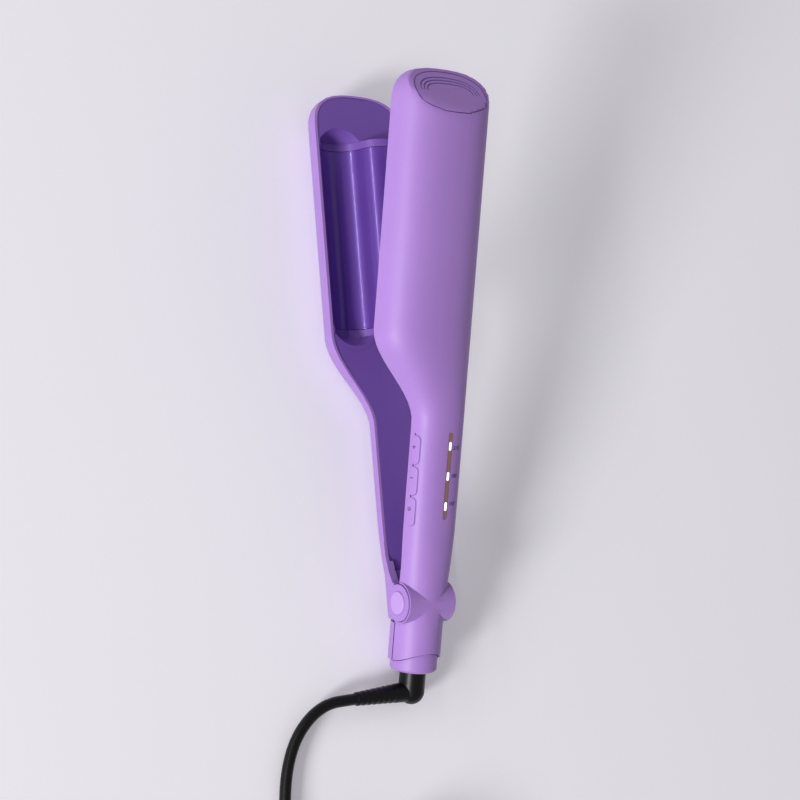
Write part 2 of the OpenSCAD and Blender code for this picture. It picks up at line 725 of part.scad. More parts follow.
// Insulated leads, swept along smooth routes
lead_r = 0.8;
lead_turn = plate_start - 10;
function bend(points, steps) = [for (i = [0:len(points) - 2], k = [0:steps - 1]) let (
    a = points[i],
    b = points[i + 1],
    m = points[max(i - 1, 0)],
    n = points[min(i + 2, len(points) - 1)],
    t = k / steps)
    a + t * (b - m) / 2 + t * t * (m - 2.5 * a + 2 * b - n / 2) + t * t * t * (-m + 3 * a - 3 * b + n) / 2];
module lead(points) {
    tube(concat(bend(points, 4), [points[len(points) - 1]]), lead_r, 6);
}
module upper_leads() {
    color("firebrick") upper() for (s = [-1, 1]) lead([
        [board_to - 3, s * 2, board_z + board_t + lead_r],
        [board_to + 6, s * 2 + 1, board_z + board_t + lead_r],
        [lead_turn, head_off + s * 2 + 4, 8],
        [plate_start - 1, head_off + wave_p / 2 + s * 2, 6],
        [heater_from - 2.5, head_off + wave_p / 2 + s * 2, heater_z + heater_t / 2],
        [heater_from - 0.3, head_off + wave_p / 2 + s * 2, heater_z + heater_t / 2]]);
}

// ---- Hinge ----
// Torsion spring: one unbroken helix with two legs
spring_turns = 4;
spring_pitch = 1.9;
spring_half = spring_turns * spring_pitch / 2;
spring_path = [for (i = [0:16 * spring_turns]) let (a = 90 + 360 * i / 16)
    [spring_r * cos(a), -spring_half + spring_pitch * i / 16, spring_r * sin(a)]];
module tube(path, r, sides, ref = [0, 0, 1]) {
    last = len(path) - 1;
    function unit(v) = v / norm(v);
    function dir(i) = unit(path[min(i + 1, last)] - path[max(i - 1, 0)]);
    function ring(i) = let (
        d = dir(i),
        a = unit(cross(d, ref)),
        b = cross(d, a))
        [for (k = [0:sides - 1]) path[i]
            + r * (cos(360 * (k + 0.5) / sides) * a + sin(360 * (k + 0.5) / sides) * b)];
    points = [for (i = [0:last]) each ring(i)];
    sides_f = [for (j = [0:last - 1], k = [0:sides - 1]) let (
        a = j * sides + k,
        b = j * sides + (k + 1) % sides)
        each [[a, a + sides, b], [b, a + sides, b + sides]]];
    ends = [[for (k = [0:sides - 1]) k], [for (k = [sides - 1:-1:0]) last * sides + k]];
    polyhedron(points, concat(sides_f, ends), convexity = 10);
}
module hinge_spring() {
    color(steel) upper() translate([0, 0, hinge_up]) tube(spring_path, spring_wire / 2, 6, [0, 1, 0]);
}
module hinge_pin() {
    color(steel) lower_hinge() cylinder(r = pin_r, h = ear_span - 2 * (cap_seat + 0.2), center = true);
}
cap_seat = 1.2;
module lower_hinge() {
    translate(hinge_at) rotate([90, 0, 0]) children();
}
module hinge_caps() {
    color(lilac) lower_hinge() for (s = [0, 1]) mirror([0, 0, s])
        translate([0, 0, ear_span / 2 - cap_seat]) rotate_extrude() difference() {
            square([cap_r, cap_seat + cap_proud]);
            translate([cap_r - 0.5, cap_seat + cap_proud - 0.5]) difference() {
                square(1);
                circle(r = 0.5, $fn = 24);
            }
        }
}

// ---- Lower arm ----
ear_side = ear_span / 2;
lower_flat = tail_low - hinge_up;
// An ear is a disc round the pin with a web down to the handle. The web's side
// outline is in arm coordinates, where the hinge lies beyond the meeting plane,
// and its section follows the rounded root of the handle
ear_web = [[-9.2, -3.4], [-7.6, 4.4], [-5.8, 7.8], [-3, 10.4], [6, 12], [34, 16], [34, handle_rise],
    [26, handle_rise - 0.4], [18, 1.8], [12, -0.6], [9.4, -4.4], [0, -hinge_up]];
web_side = ear_side - 0.05;
root_section = concat([[web_side, -hinge_up - 20]],
    [for (i = [0:16]) let (a = 180 * i / 16) [web_side * signed_pow(cos(a), 0.9),
        handle_rise + (lower_root_out - handle_rise - 0.1) * pow(abs(sin(a)), 0.9)]],
    [[-web_side, -hinge_up - 20]]);
module ears() {
    intersection() {
        for (s = [-1, 1]) translate([0, s * (ear_side - ear_t / 2) + ear_t / 2, 0]) rotate([90, 0, 0])
            linear_extrude(ear_t) polygon(ear_web);
        translate([-20, 0, 0]) rotate([90, 0, 90]) linear_extrude(54) polygon(root_section);
    }
    for (s = [-1, 1]) translate([0, s * (ear_side - ear_t / 2), -hinge_up]) rotate([90, 0, 0])
        cylinder(r = ear_r, h = ear_t, center = true, $fn = 72);
}
// Room in the lower arm for the cups of the boss
module cup_room() {
    difference() {
        hinge_hole(boss_r + 0.8, 30);
        hinge_hole(ear_r - 0.03, 31);
        translate([-60, -40, -hinge_up - 0.6 + 3.4]) cube([120, 80, 60]);
    }
}
module hinge_hole(r, half) {
    translate([0, 0, -hinge_up]) rotate([90, 0, 0]) cylinder(r = r, h = 2 * half, center = true, $fn = 72);
}
module lower_shell() {
    color(lilac) lower() difference() {
        union() {
            difference() {
                arm_blank(lower_root_start, handle_rise, lower_root_out);
                arm_blank(lower_cover_from - seam, handle_rise, lower_root_out, rim_w, wall, rim_lap, 7, 14);
            }
            ears();
        }
        translate([0, 0, handle_rise - 1]) linear_extrude(1 + cover_t + seat)
            polygon(edge_points(lower_cover_from - seam, 36, rim_w, 6));
        hinge_hole(boss_r + 0.8, ear_side - ear_t);
        hinge_hole(ear_bore, 20);
        cup_room();
        for (s = [-1, 1]) translate([0, s * (ear_side + 5 - cap_seat), -hinge_up]) rotate([90, 0, 0])
            cylinder(r = cap_r + 0.05, h = 10, center = true, $fn = 72);
        translate([-60, -80, lower_flat]) cube([500, 160, 30]);
        cap_form(seam, -cap_depth, 6);
    }
}
module lower_inner_cover() {
    color(lilac_deep) lower() inner_cover(1, handle_rise, lower_cover_from);
}
module lower_tip_frame() {
    color(lilac_deep) lower() tip_frame(1);
}
module lower_tip_cap() {
    color(lilac) lower() tip_cap(handle_rise, lower_root_out);
}
module lower_plate() {
    color(plate_violet) lower() heating_plate(1);
}
module lower_heater() {
    color(ceramic_white) lower() heater(1);
}
module lower_heater_clip() {
    color(steel) lower() heater_clip(1);
}
module lower_plate_pads() {
    color(silicone_grey) lower() plate_pads(1);
}
module lower_leads() {
    color("firebrick") lower() for (s = [-1, 1]) lead([
        [24, s * 2, 8.5],
        [neck_start, s * 2, 8.5],
        [lead_turn, head_off - 9 + s * 2, 8],
        [plate_start - 1, head_off - wave_p / 2 + s * 2, 6],
        [heater_from - 2.5, head_off - wave_p / 2 + s * 2, heater_z + heater_t / 2],
        [heater_from - 0.3, head_off - wave_p / 2 + s * 2, heater_z + heater_t / 2]]);
}

// ---- Swivel, cord, coil and plug ----
elbow_x = tail_end + 12;
relief_dir = [-sin(relief_tilt), cos(relief_tilt), 0];
relief_r = 3.7;
module cord_elbow() {
    color(rubber_black) upper() translate([0, 0, tail_up]) {
        rotate([0, -90, 0]) rotate_extrude() polygon([[0, flange_top - 2.6], [1.9, flange_top - 2.6],
            [1.9, flange_top], [9.6, flange_top], [9.6, collar_floor - 0.2], [neck_r, collar_floor - 0.2],
            [neck_r, elbow_x], [0, elbow_x]]);
        translate([-elbow_x, 0, 0]) sphere(r = neck_r);
        translate([-elbow_x, 0, 0]) rotate([-90, 0, relief_tilt])
            cylinder(r1 = 5.8, r2 = relief_r, h = relief_len);
    }
}
function to_world(p) = hinge_at + [
    p[0] * cos(open_angle) - (p[2] - hinge_up) * sin(open_angle),
    p[1],
    p[0] * sin(open_angle) + (p[2] - hinge_up) * cos(open_angle)];
relief_end = to_world([-elbow_x, 0, tail_up] + relief_len * relief_dir);
cord_z = cord_d / 2 + 0.1;

tie_t = 0.6;
tie_w = 9;
coil_base = cord_d / 2 + tie_t + 0.3;
coil_at = [-297, 28];
coil_out = coil_mid + coil_step * coil_layer / 2;
coil_in = coil_out - coil_step * coil_layer;
layers = 4;
layer_span = coil_layer + 0.5;
coil_turns = layers * layer_span - 0.5;
function coil_point(s) = let (
    k = min(layers - 1, floor(s / layer_span)),
    t = s - k * layer_span,
    inward = k % 2 == 0,
    climb = ease((t - coil_layer) / 0.5),
    wound = min(t, coil_layer) * coil_step,
    r = inward ? coil_out - wound : coil_in + wound,
    a = 90 + 360 * s)
    [coil_at[0] + r * cos(a), coil_at[1] + r * sin(a), coil_base + (k + climb) * coil_rise];
coil_path = concat([coil_point(0) + [cord_d, 0, 0]],
    [for (i = [0:24 * coil_turns]) coil_point(i / 24)],
    [coil_point(coil_turns) - [cord_d, 0, 0]]);
coil_start = coil_path[0];
coil_end = coil_path[len(coil_path) - 1];

// Least gap of the coil to itself, on its own points
function least(list) = min(list);
coil_gap = least([for (i = [0:3:len(coil_path) - 1], j = [i + 16:1:len(coil_path) - 1])
    norm(coil_path[i] - coil_path[j])]) - cord_d;
echo(coil_gap = coil_gap);
echo(hinge_at = hinge_at, relief_end = relief_end, coil_start = coil_start, coil_end = coil_end);
echo(swivel_at = to_world([-tail_end, 0, tail_up]), rest_flat = lower_flat);

plug_at = [-350, 19, plug_t / 2 + 0.1];
route = [relief_end, relief_end + cord_d * (relief_end - to_world([-elbow_x, 0, tail_up])) / relief_len,
    [-172.7, 38, 7.3], [-175.6, 45.5, 6.3], [-181, 52.6, 5.3], [-188.5, 58.8, 4.5],
    [-197.5, 63.4, 4], [-208, 66.6, 3.7], [-220, 68.5, 3.6], [-233, 69.3, 3.6], [-247, 69.4, 3.8], [-262, 69.1, 4],
    [-277, 68.8, 4], coil_start + [cord_d, 0, 0], coil_start];
tail_route = [coil_end, coil_end - [cord_d, 0, 0], [-319, 67.6, 22.6], [-331.5, 62.4, 17.2],
    [-340.8, 53.4, 12.8], [-347.2, 41.8, 9.4], [-349.8, 30, 7.2], plug_at + [0, cord_d, 0], plug_at];
module power_cord() {
    color(rubber_black) {
        tube(route, cord_d / 2, 10);
        tube(tail_route, cord_d / 2, 10);
    }
}
module cord_coil() {
    color(rubber_black) tube(coil_path, cord_d / 2, 6);
}
module cord_tie() {
    inner = [coil_out - coil_in + cord_d + 0.8, (layers - 1) * coil_rise + cord_d + 0.4];
    mid = [coil_at[1] - (coil_out + coil_in) / 2, coil_base + (layers - 1) * coil_rise / 2];
    color(silicone_grey) translate([coil_at[0] - tie_w / 2, mid[0], mid[1]]) rotate([90, 0, 90])
        linear_extrude(tie_w) difference() {
            square(inner + [2 * tie_t, 2 * tie_t], center = true);
            square(inner, center = true);
        }
}
plug_relief = 20;
module plug_body() {
    waist = 14;
    color(rubber_black) translate(plug_at) rotate([90, 0, 0]) {
        cylinder(r1 = cord_d / 2 + 0.5, r2 = 5.6, h = plug_relief);
        translate([0, 0, plug_relief - 0.01]) rotate([90, 0, 0]) translate([0, 0, -plug_t / 2])
            linear_extrude(plug_t) polygon([[-waist / 2, 0], [-plug_w / 2, plug_len - 12],
                [-plug_w / 2, plug_len], [plug_w / 2, plug_len], [plug_w / 2, plug_len - 12], [waist / 2, 0]]);
    }
}
module plug_pins() {
    color(steel) translate(plug_at) rotate([90, 0, 0]) for (s = [-1, 1])
        translate([s * plug_pin_gap / 2, 0, plug_relief + plug_len]) cylinder(r = plug_pin_r, h = plug_pin_len);
}

upper_shell();
upper_inner_cover();
upper_tip_frame();
upper_tip_cap();
upper_plate();
upper_heater();
upper_heater_clip();
upper_plate_pads();
tail_cover();
tail_collar();
light_bar();
light_windows();
circuit_board();
indicator_leds();
tact_switches();
board_screws();
upper_leads();
hinge_spring();
swivel_socket();
plus_button();
minus_button();
power_button();
lower_shell();
lower_inner_cover();
lower_tip_frame();
lower_tip_cap();
lower_plate();
lower_heater();
lower_heater_clip();
lower_plate_pads();
lower_leads();
hinge_pin();
hinge_caps();
cord_elbow();
power_cord();
cord_coil();
cord_tie();
plug_body();
plug_pins();
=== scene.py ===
"""Looks of a two-armed deep waver for hair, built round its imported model.

The arms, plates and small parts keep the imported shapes, merged into smooth
surfaces. The cord, its strain relief, the plug and the printed marks are
surfaces worked out here. Sizes are in millimetres unless a name says metres.
"""

import json
import logging
from dataclasses import dataclass, field
from enum import Enum
from typing import Any, Callable, Mapping, Sequence

import bmesh
import bpy
import numpy as np
from mathutils import Matrix, Vector
from mathutils.geometry import convex_hull_2d


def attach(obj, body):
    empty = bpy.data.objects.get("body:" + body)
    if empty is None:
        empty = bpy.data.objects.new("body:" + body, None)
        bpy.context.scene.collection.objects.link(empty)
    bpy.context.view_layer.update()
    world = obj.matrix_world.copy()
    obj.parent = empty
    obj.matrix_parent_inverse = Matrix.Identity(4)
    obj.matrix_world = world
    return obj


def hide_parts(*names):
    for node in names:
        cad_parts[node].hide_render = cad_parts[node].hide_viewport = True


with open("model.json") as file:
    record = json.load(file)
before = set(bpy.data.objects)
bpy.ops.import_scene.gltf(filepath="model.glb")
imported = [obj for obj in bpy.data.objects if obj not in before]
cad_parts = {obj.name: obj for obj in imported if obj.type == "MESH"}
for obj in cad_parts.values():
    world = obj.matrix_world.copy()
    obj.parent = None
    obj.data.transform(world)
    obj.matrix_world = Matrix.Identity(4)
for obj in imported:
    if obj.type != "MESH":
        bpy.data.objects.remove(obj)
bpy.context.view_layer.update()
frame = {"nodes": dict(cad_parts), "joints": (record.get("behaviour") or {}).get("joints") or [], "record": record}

LOG = logging.getLogger("hair_waver")
MM = 0.001


class Body(Enum):
    """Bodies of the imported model."""

    MAIN = "main_body"
    LOWER = "lower_arm"
    CORD = "cord_set"
    PLUS = "plus_key"
    MINUS = "minus_key"
    POWER = "power_key"


class Slot(Enum):
    """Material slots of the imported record."""

    LILAC = "lilac_shell"
    VIOLET = "violet_cover"
    PLATE = "coated_plate"
    CERAMIC = "ceramic"
    STEEL = "spring_steel"
    SILICONE = "silicone"
    GOLD = "gold_bar"
    WINDOW = "light_pipe"
    BOARD = "board"
    NYLON = "black_nylon"
    LEAD = "lead_red"
    CORD = "black_cord"
    PIN = "plug_pin_metal"


# ---------------------------------------------------------------- colours and nodes


def linear(hex_colour: str) -> tuple[float, float, float, float]:
    """Turns an sRGB colour into the linear one that a shader takes."""
    values = np.array([int(hex_colour[i : i + 2], 16) for i in (0, 2, 4)]) / 255
    low = values / 12.92
    high = ((values + 0.055) / 1.055) ** 2.4
    return (*np.where(values <= 0.04045, low, high).tolist(), 1.0)


def add_node(
    tree: bpy.types.NodeTree,
    kind: str,
    settings: Mapping[str, Any] | None = None,
    links: Mapping[str, bpy.types.NodeSocket] | None = None,
) -> bpy.types.Node:
    """Adds one node with its settings and its incoming links.

    Args:
        tree: the node tree.
        kind: the node's type name.
        settings: values by the name of an input socket, or of a property.
        links: sockets to join, by the name of the input that takes them.

    Returns:
        The new node.
    """
    node = tree.nodes.new(kind)
    for name, value in (settings or {}).items():
        if name in node.inputs:
            node.inputs[name].default_value = value
        else:
            setattr(node, name, value)
    for name, socket in (links or {}).items():
        tree.links.new(socket, node.inputs[name])
    return node


def per_metre(size_mm: float) -> float:
    """Scale of a texture whose features are size_mm apart, on coordinates in metres."""
    return 1.0 / (size_mm * MM)


@dataclass(frozen=True)
class Finish:
    """A procedural finish, read on Object coordinates.

    The colour wanders between two near shades over wander_mm, the roughness by
    roughness_spread, and the bump is a grain of grain_mm that is stretched by
    stretch along the arm where a surface was drawn or brushed.
    """

    name: str
    shade: str
    shade_two: str
    roughness: float
    roughness_spread: float = 0.05
    metallic: float = 0.0
    ior: float = 1.5
    wander_mm: float = 30.0
    grain_mm: float = 0.6
    grain_height_mm: float = 0.01
    stretch: float = 1.0
    edge_mm: float = 0.0
    sheen: float = 0.0
    coat: float = 0.0
    coat_roughness: float = 0.1
    glow: float = 0.0
    glow_shade: str = "FFFFFF"

    def build(self) -> bpy.types.Material:
        """Makes the material, with its nodes linked."""
        material = bpy.data.materials.new(self.name)
        material.use_nodes = True
        tree = material.node_tree
        tree.nodes.clear()
        place = add_node(tree, "ShaderNodeTexCoord").outputs["Object"]
        squeeze = {"Scale": (1 / self.stretch, 1, 1)}
        squeezed = add_node(
            tree, "ShaderNodeMapping", squeeze, {"Vector": place}
        ).outputs["Vector"]
        wander = self.noise(tree, place, self.wander_mm, detail=2)
        grain = self.noise(tree, squeezed, self.grain_mm, detail=3)
        # Inputs 6 and 7 and output 2 are this node's colours
        colour = add_node(tree, "ShaderNodeMix", {"data_type": "RGBA"}, {"Factor": wander})
        colour.inputs[6].default_value = linear(self.shade)
        colour.inputs[7].default_value = linear(self.shade_two)
        rough = add_node(
            tree,
            "ShaderNodeMapRange",
            {
                "To Min": self.roughness - self.roughness_spread,
                "To Max": self.roughness + self.roughness_spread,
            },
            {"Value": grain},
        ).outputs["Result"]
        bump = add_node(
            tree,
            "ShaderNodeBump",
            {"Strength": 1.0, "Distance": self.grain_height_mm * MM},
            {"Height": grain},
        )
        if self.edge_mm > 0:
            edge = add_node(tree, "ShaderNodeBevel", {"samples": 4, "Radius": self.edge_mm * MM})
            tree.links.new(edge.outputs["Normal"], bump.inputs["Normal"])
        shader = add_node(
            tree,
            "ShaderNodeBsdfPrincipled",
            {
                "Metallic": self.metallic,
                "IOR": self.ior,
                "Sheen Weight": self.sheen,
                "Coat Weight": self.coat,
                "Coat Roughness": self.coat_roughness,
                "Emission Color": linear(self.glow_shade),
                "Emission Strength": self.glow,
            },
            {
                "Base Color": colour.outputs[2],
                "Roughness": rough,
                "Normal": bump.outputs["Normal"],
            },
        )
        surface = {"Surface": shader.outputs["BSDF"]}
        add_node(tree, "ShaderNodeOutputMaterial", links=surface)
        return material

    @staticmethod
    def noise(
        tree: bpy.types.NodeTree,
        place: bpy.types.NodeSocket,
        size_mm: float,
        detail: float,
    ) -> bpy.types.NodeSocket:
        """Adds a noise whose blobs are about size_mm across."""
        return add_node(
            tree,
            "ShaderNodeTexNoise",
            {"Scale": per_metre(size_mm), "Detail": detail, "Roughness": 0.5},
            {"Vector": place},
        ).outputs["Fac"]


# Each finish is named for its material and how its surface was made.
FINISHES: dict[Slot, Finish] = {
    # ABS with a soft-touch lacquer, spark-eroded mould: even, matte, faint sheen
    Slot.LILAC: Finish(
        "soft_touch_abs", "A880CC", "A37BC7", 0.5,
        grain_height_mm=0.006, grain_mm=0.5, edge_mm=0.35, sheen=0.06,
    ),
    # PBT of the inner covers, moulded in a deeper violet, a little glossier
    Slot.VIOLET: Finish(
        "moulded_pbt", "7A55AE", "744FA8", 0.4,
        grain_height_mm=0.006, grain_mm=0.6, edge_mm=0.3,
    ),
    # Aluminium extrusion under a glossy violet ceramic coat: clear, narrow
    # highlights along the waves over a deep even colour
    Slot.PLATE: Finish(
        "ceramic_coated_aluminium", "6A43A8", "633E9E", 0.3,
        roughness_spread=0.04, metallic=0.3, grain_mm=0.5, stretch=14,
        grain_height_mm=0.001, coat=0.4, coat_roughness=0.08,
    ),
    # Pressed alumina: white, matte, slightly grainy
    Slot.CERAMIC: Finish("pressed_alumina", "ECE8DE", "E2DDD0", 0.6, grain_mm=0.4),
    # Drawn spring steel: fine lines along the wire
    Slot.STEEL: Finish(
        "drawn_steel", "B9BBBF", "ABADB2", 0.3, metallic=1.0, grain_mm=0.4, stretch=6
    ),
    # Moulded silicone: dull grey, soft bloom
    Slot.SILICONE: Finish("moulded_silicone", "85868C", "7A7B81", 0.62, sheen=0.2, edge_mm=0.2),
    # Brushed and anodised strip, warm gold-brown
    Slot.GOLD: Finish(
        "anodised_gold_strip", "B8927A", "A9836C", 0.34, metallic=0.7,
        grain_mm=0.25, stretch=10, grain_height_mm=0.003,
    ),
    # Milky polycarbonate light pipe, lit from behind
    Slot.WINDOW: Finish("lit_light_pipe", "F7F4F0", "F1ECE8", 0.3, glow=0.9, glow_shade="FFF8F2"),
    # Glass-epoxy board under green lacquer
    Slot.BOARD: Finish("lacquered_board", "1F6B43", "1A5E3A", 0.35, coat=0.3),
    # Glass-filled nylon, black
    Slot.NYLON: Finish("glass_filled_nylon", "1C1C1F", "151518", 0.5, edge_mm=0.2),
    # Silicone sleeve of the leads
    Slot.LEAD: Finish("silicone_lead", "A22A2A", "932323", 0.5),
    # TPE sheath, satin black, fine drawn grain
    Slot.CORD: Finish(
        "extruded_tpe", "070708", "050506", 0.38, ior=1.36,
        roughness_spread=0.06, grain_mm=0.8, grain_height_mm=0.01,
    ),
    # Turned brass, nickel-plated
    Slot.PIN: Finish("plated_pin", "CFCFD2", "C3C3C7", 0.2, metallic=1.0, stretch=3),
}
# Tampo-printed ink, dark purple-grey; the dark dots at the keys' ends take it too, as painted shade
INK_AND_PAINTED_SHADE = Finish("tampo_ink_and_painted_shade", "33224A", "2C1D42", 0.55, grain_mm=0.3)
# Turned-up face of the hinge caps, polished in the mould: a shade brighter
CAP = Finish("polished_abs", "BD97DC", "B891D8", 0.32, grain_mm=0.5, edge_mm=0.3)
# Hook-and-loop band of the cord: charcoal, woven, no shine
TIE = Finish("woven_band", "232327", "1B1B1F", 0.85, grain_mm=0.7, grain_height_mm=0.06)
# Dark bead in a moulded joint, in a deep shade of the same plastic: painted shadow of the gap
JOINT_SHADOW = Finish("joint_painted_shadow", "452A6C", "3D2562", 0.6, grain_mm=0.3)
# Floor of a moulded grip line: rough from the spark erosion, and darker than the shell as painted shade in the
# groove
GRIP_SHADE = Finish("eroded_groove_painted_shade", "7D5AA8", "7652A1", 0.7, grain_mm=0.25)


class Paints:
    """Holds one material for each finish, made when it is first asked for."""

    def __init__(self) -> None:
        """Starts with no material made."""
        self.made: dict[str, bpy.types.Material] = {}

    def of(self, finish: Finish) -> bpy.types.Material:
        """The material of a finish."""
        if finish.name not in self.made:
            self.made[finish.name] = finish.build()
        return self.made[finish.name]

    def dress(
        self,
        piece: bpy.types.Object,
        body: Body,
        slot: Slot,
        *nodes: str,
        finish: Finish | None = None,
    ) -> None:
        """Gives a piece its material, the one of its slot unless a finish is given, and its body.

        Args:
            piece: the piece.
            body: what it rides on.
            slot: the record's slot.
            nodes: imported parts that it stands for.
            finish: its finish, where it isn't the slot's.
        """
        piece.data.materials.append(self.of(finish or FINISHES[slot]))
        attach(piece, body.value)
        if nodes:
            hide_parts(*nodes)
        LOG.info("%s: %d faces", piece.name, len(piece.data.polygons))


# ---------------------------------------------------------------- surfaces


def mesh_object(
    name: str,
    points_mm: np.ndarray,
    faces: Sequence[Sequence[int]],
    sharp_deg: float = 32,
    closed: bool = False,
) -> bpy.types.Object:
    """Makes an object from points and faces, shaded smooth but for sharp edges.

    Args:
        name: the piece's name.
        points_mm: (n, 3) points in the row frame.
        faces: vertex numbers of each face.
        sharp_deg: edges that turn by more than this stay sharp.
        closed: True where the faces close a body, and are turned outwards.

    Returns:
        The object, at the origin.
    """
    mesh = bpy.data.meshes.new(name)
    mesh.from_pydata((points_mm * MM).tolist(), [], [list(f) for f in faces])
    mesh.validate()
    mesh.shade_smooth()
    mesh.set_sharp_from_angle(angle=np.radians(sharp_deg))
    if closed:
        body = bmesh.new()
        body.from_mesh(mesh)
        bmesh.ops.recalc_face_normals(body, faces=body.faces)
        body.to_mesh(mesh)
        body.free()
    piece = bpy.data.objects.new(name, mesh)
    bpy.context.scene.collection.objects.link(piece)
    return piece


def ring_faces(rings: int, around: int, closed: bool = False) -> list[list[int]]:
    """Faces of a tube of rings, each closed on itself.

    Args:
        rings: number of rings.
        around: points in a ring.
        closed: True where the last ring joins the first, else each end is capped.

    Returns:
        Quads between rings, then the two caps where there are any.
    """
    spans = rings if closed else rings - 1
    j, k = np.meshgrid(np.arange(spans), np.arange(around), indexing="ij")
    after = (j + 1) % rings * around
    here, beside = j * around + k, j * around + (k + 1) % around
    quads = np.stack([here, beside, after + (k + 1) % around, after + k], -1).reshape(-1, 4)
    if closed:
        return quads.tolist()
    first = list(range(around))[::-1]
    last = [(rings - 1) * around + i for i in range(around)]
    return [*quads.tolist(), first, last]


def tube_points(
    path: np.ndarray,
    section: np.ndarray,
    ref: Sequence[float] = (0.0, 0.0, 1.0),
    closed: bool = False,
) -> np.ndarray:
    """Carries a section along a path.

    Each ring is path + u * a + v * b, where d is the path's direction, a is
    d x ref made a unit, and b is a x d.

    Args:
        path: (n, 3) centres.
        section: (n, m, 2) or (m, 2) offsets across and up.
        ref: a direction that the path never takes.
        closed: True where the path's end joins its start.

    Returns:
        (n * m, 3) points.
    """
    if closed:
        step = np.roll(path, -1, axis=0) - np.roll(path, 1, axis=0)
    else:
        step = np.gradient(path, axis=0)
    along = step / np.linalg.norm(step, axis=1, keepdims=True)
    side = np.cross(along, ref)
    side /= np.linalg.norm(side, axis=1, keepdims=True)
    up = np.cross(side, along)
    section = np.broadcast_to(section, (len(path), *section.shape[-2:]))
    rings = (path[:, None] + section[..., 0:1] * side[:, None] + section[..., 1:2] * up[:, None])
    return rings.reshape(-1, 3)


def circle(around: int) -> np.ndarray:
    """Unit circle as (around, 2) points, turning left."""
    angle = np.linspace(0, 2 * np.pi, around, endpoint=False)
    return np.stack([np.cos(angle), np.sin(angle)], 1)


def smooth_path(points: np.ndarray, steps: int) -> np.ndarray:
    """Catmull-Rom curve through points, with steps pieces in each span.

    Args:
        points: (n, 3) points that the curve passes through.
        steps: samples in a span.

    Returns:
        (steps * (n - 1) + 1, 3) points.
    """
    padded = np.concatenate([points[:1], points, points[-1:]])
    t = (np.arange(steps) / steps)[None, :, None]
    m, a, b, n = (padded[i : len(padded) - 3 + i, None] for i in range(4))
    curve = (
        a
        + t * (b - m) / 2
        + t**2 * (m - 2.5 * a + 2 * b - n / 2)
        + t**3 * (-m + 3 * a - 3 * b + n) / 2
    )
    return np.concatenate([curve.reshape(-1, 3), points[-1:]])


def ease(t: np.ndarray) -> np.ndarray:
    """Smooth step 3t^2 - 2t^3, held between 0 and 1."""
    held = np.clip(t, 0, 1)
    return held * held * (3 - 2 * held)


# ---------------------------------------------------------------- frame of the arms


@dataclass(frozen=True)
class ArmFrame:
    """The frame that both arms share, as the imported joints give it.

    X runs from the hinge to the tip, Y to the buttons and Z out of the upper
    arm; the hinge axis is hinge_up above the plane where the arms meet, and the
    axis of the tail and its swivel tail_up.
    """

    hinge: np.ndarray
    tilt: float
    hinge_up: float = 5.0
    tail_up: float = 1.8

    @staticmethod
    def read() -> "ArmFrame":
        """Reads the hinge's place and the arms' opening from the frame."""
        joint = next(j for j in frame["joints"] if j["name"] == "arm_hinge")
        return ArmFrame(np.array(joint["pos_m"]) / MM, np.radians(joint["range_deg"][1]))

    def upper(self, points: np.ndarray) -> np.ndarray:
        """Points of the upper arm in the row frame: turned up by the opening."""
        x, y, z = points[..., 0], points[..., 1], points[..., 2] - self.hinge_up
        c, s = np.cos(self.tilt), np.sin(self.tilt)
        return np.stack([x * c - z * s, y, x * s + z * c], -1) + self.hinge

    def lower(self, points: np.ndarray) -> np.ndarray:
        """Points of the lower arm in the row frame: mirrored down."""
        return points * [1, 1, -1] + self.hinge - [0, 0, self.hinge_up]

    def local(self, points: np.ndarray) -> np.ndarray:
        """Points of the row frame in the upper arm's frame, the way back of upper."""
        x, y, z = np.moveaxis(points - self.hinge, -1, 0)
        c, s = np.cos(self.tilt), np.sin(self.tilt)
        return np.stack([x * c + z * s, y, z * c - x * s + self.hinge_up], -1)

    def upper_way(self, way: Sequence[float]) -> np.ndarray:
        """A direction of the upper arm in the row frame."""
        return self.upper(np.array(way, float)) - self.upper(np.zeros(3))


@dataclass(frozen=True)
class ShellForm:
    """Outer form of the upper shell from its tail to its head, in the arms' frame.

    A section is (reach to the keys' side, reach to the other, power n, foot, top),
    and its outline is z = foot + (top - foot) (1 - |y / reach|^n)^(1/n).
    """

    tail: tuple[float, ...] = (14.2, 14.2, 2.0, 4.1, 17.1)
    handle: tuple[float, ...] = (15.3, 15.3, 2.4, 4.1, 17.1)
    head: tuple[float, ...] = (41.05, 16.25, 2.5, 0.05, 21.1)
    root_end: float = 45.0
    neck_start: float = 98.0
    neck_end: float = 146.5
    # The power key's middle, and the step from each key to the next
    key_first: float = 50.2
    key_pitch: float = 16.6

    @property
    def tail_r(self) -> float:
        """Radius of the tail, which is round."""
        return self.tail[0]

    def key_at(self, which: float) -> float:
        """Place of a key along the handle: 0 power, 1 minus, 2 plus."""
        return self.key_first + which * self.key_pitch

    def crown(self, x: np.ndarray, y: np.ndarray) -> np.ndarray:
        """Heights of the crown at x from the hinge and y across the arm.

        The sections ease into each other along x.
        """
        tail, handle, head = map(np.array, (self.tail, self.handle, self.head))
        rooted = 1 - ease(x / self.root_end)
        spread = ease((x - self.neck_start) / (self.neck_end - self.neck_start))
        section = handle + (tail - handle) * rooted[..., None]
        section = section + (head - section) * spread[..., None]
        left, right, power, foot, top = np.moveaxis(section, -1, 0)
        share = np.abs((y - (left - right) / 2) / ((left + right) / 2))
        height = (1 - np.clip(share, 0, 1) ** power) ** (1 / power)
        return foot + (top - foot) * height

    def side(self, z: np.ndarray) -> np.ndarray:
        """How far out the handle's side wall is at heights z, on the keys' side."""
        reach, _, power, foot, top = self.handle
        return reach * (1 - ((z - foot) / (top - foot)) ** power) ** (1 / power)


# ---------------------------------------------------------------- moulded parts


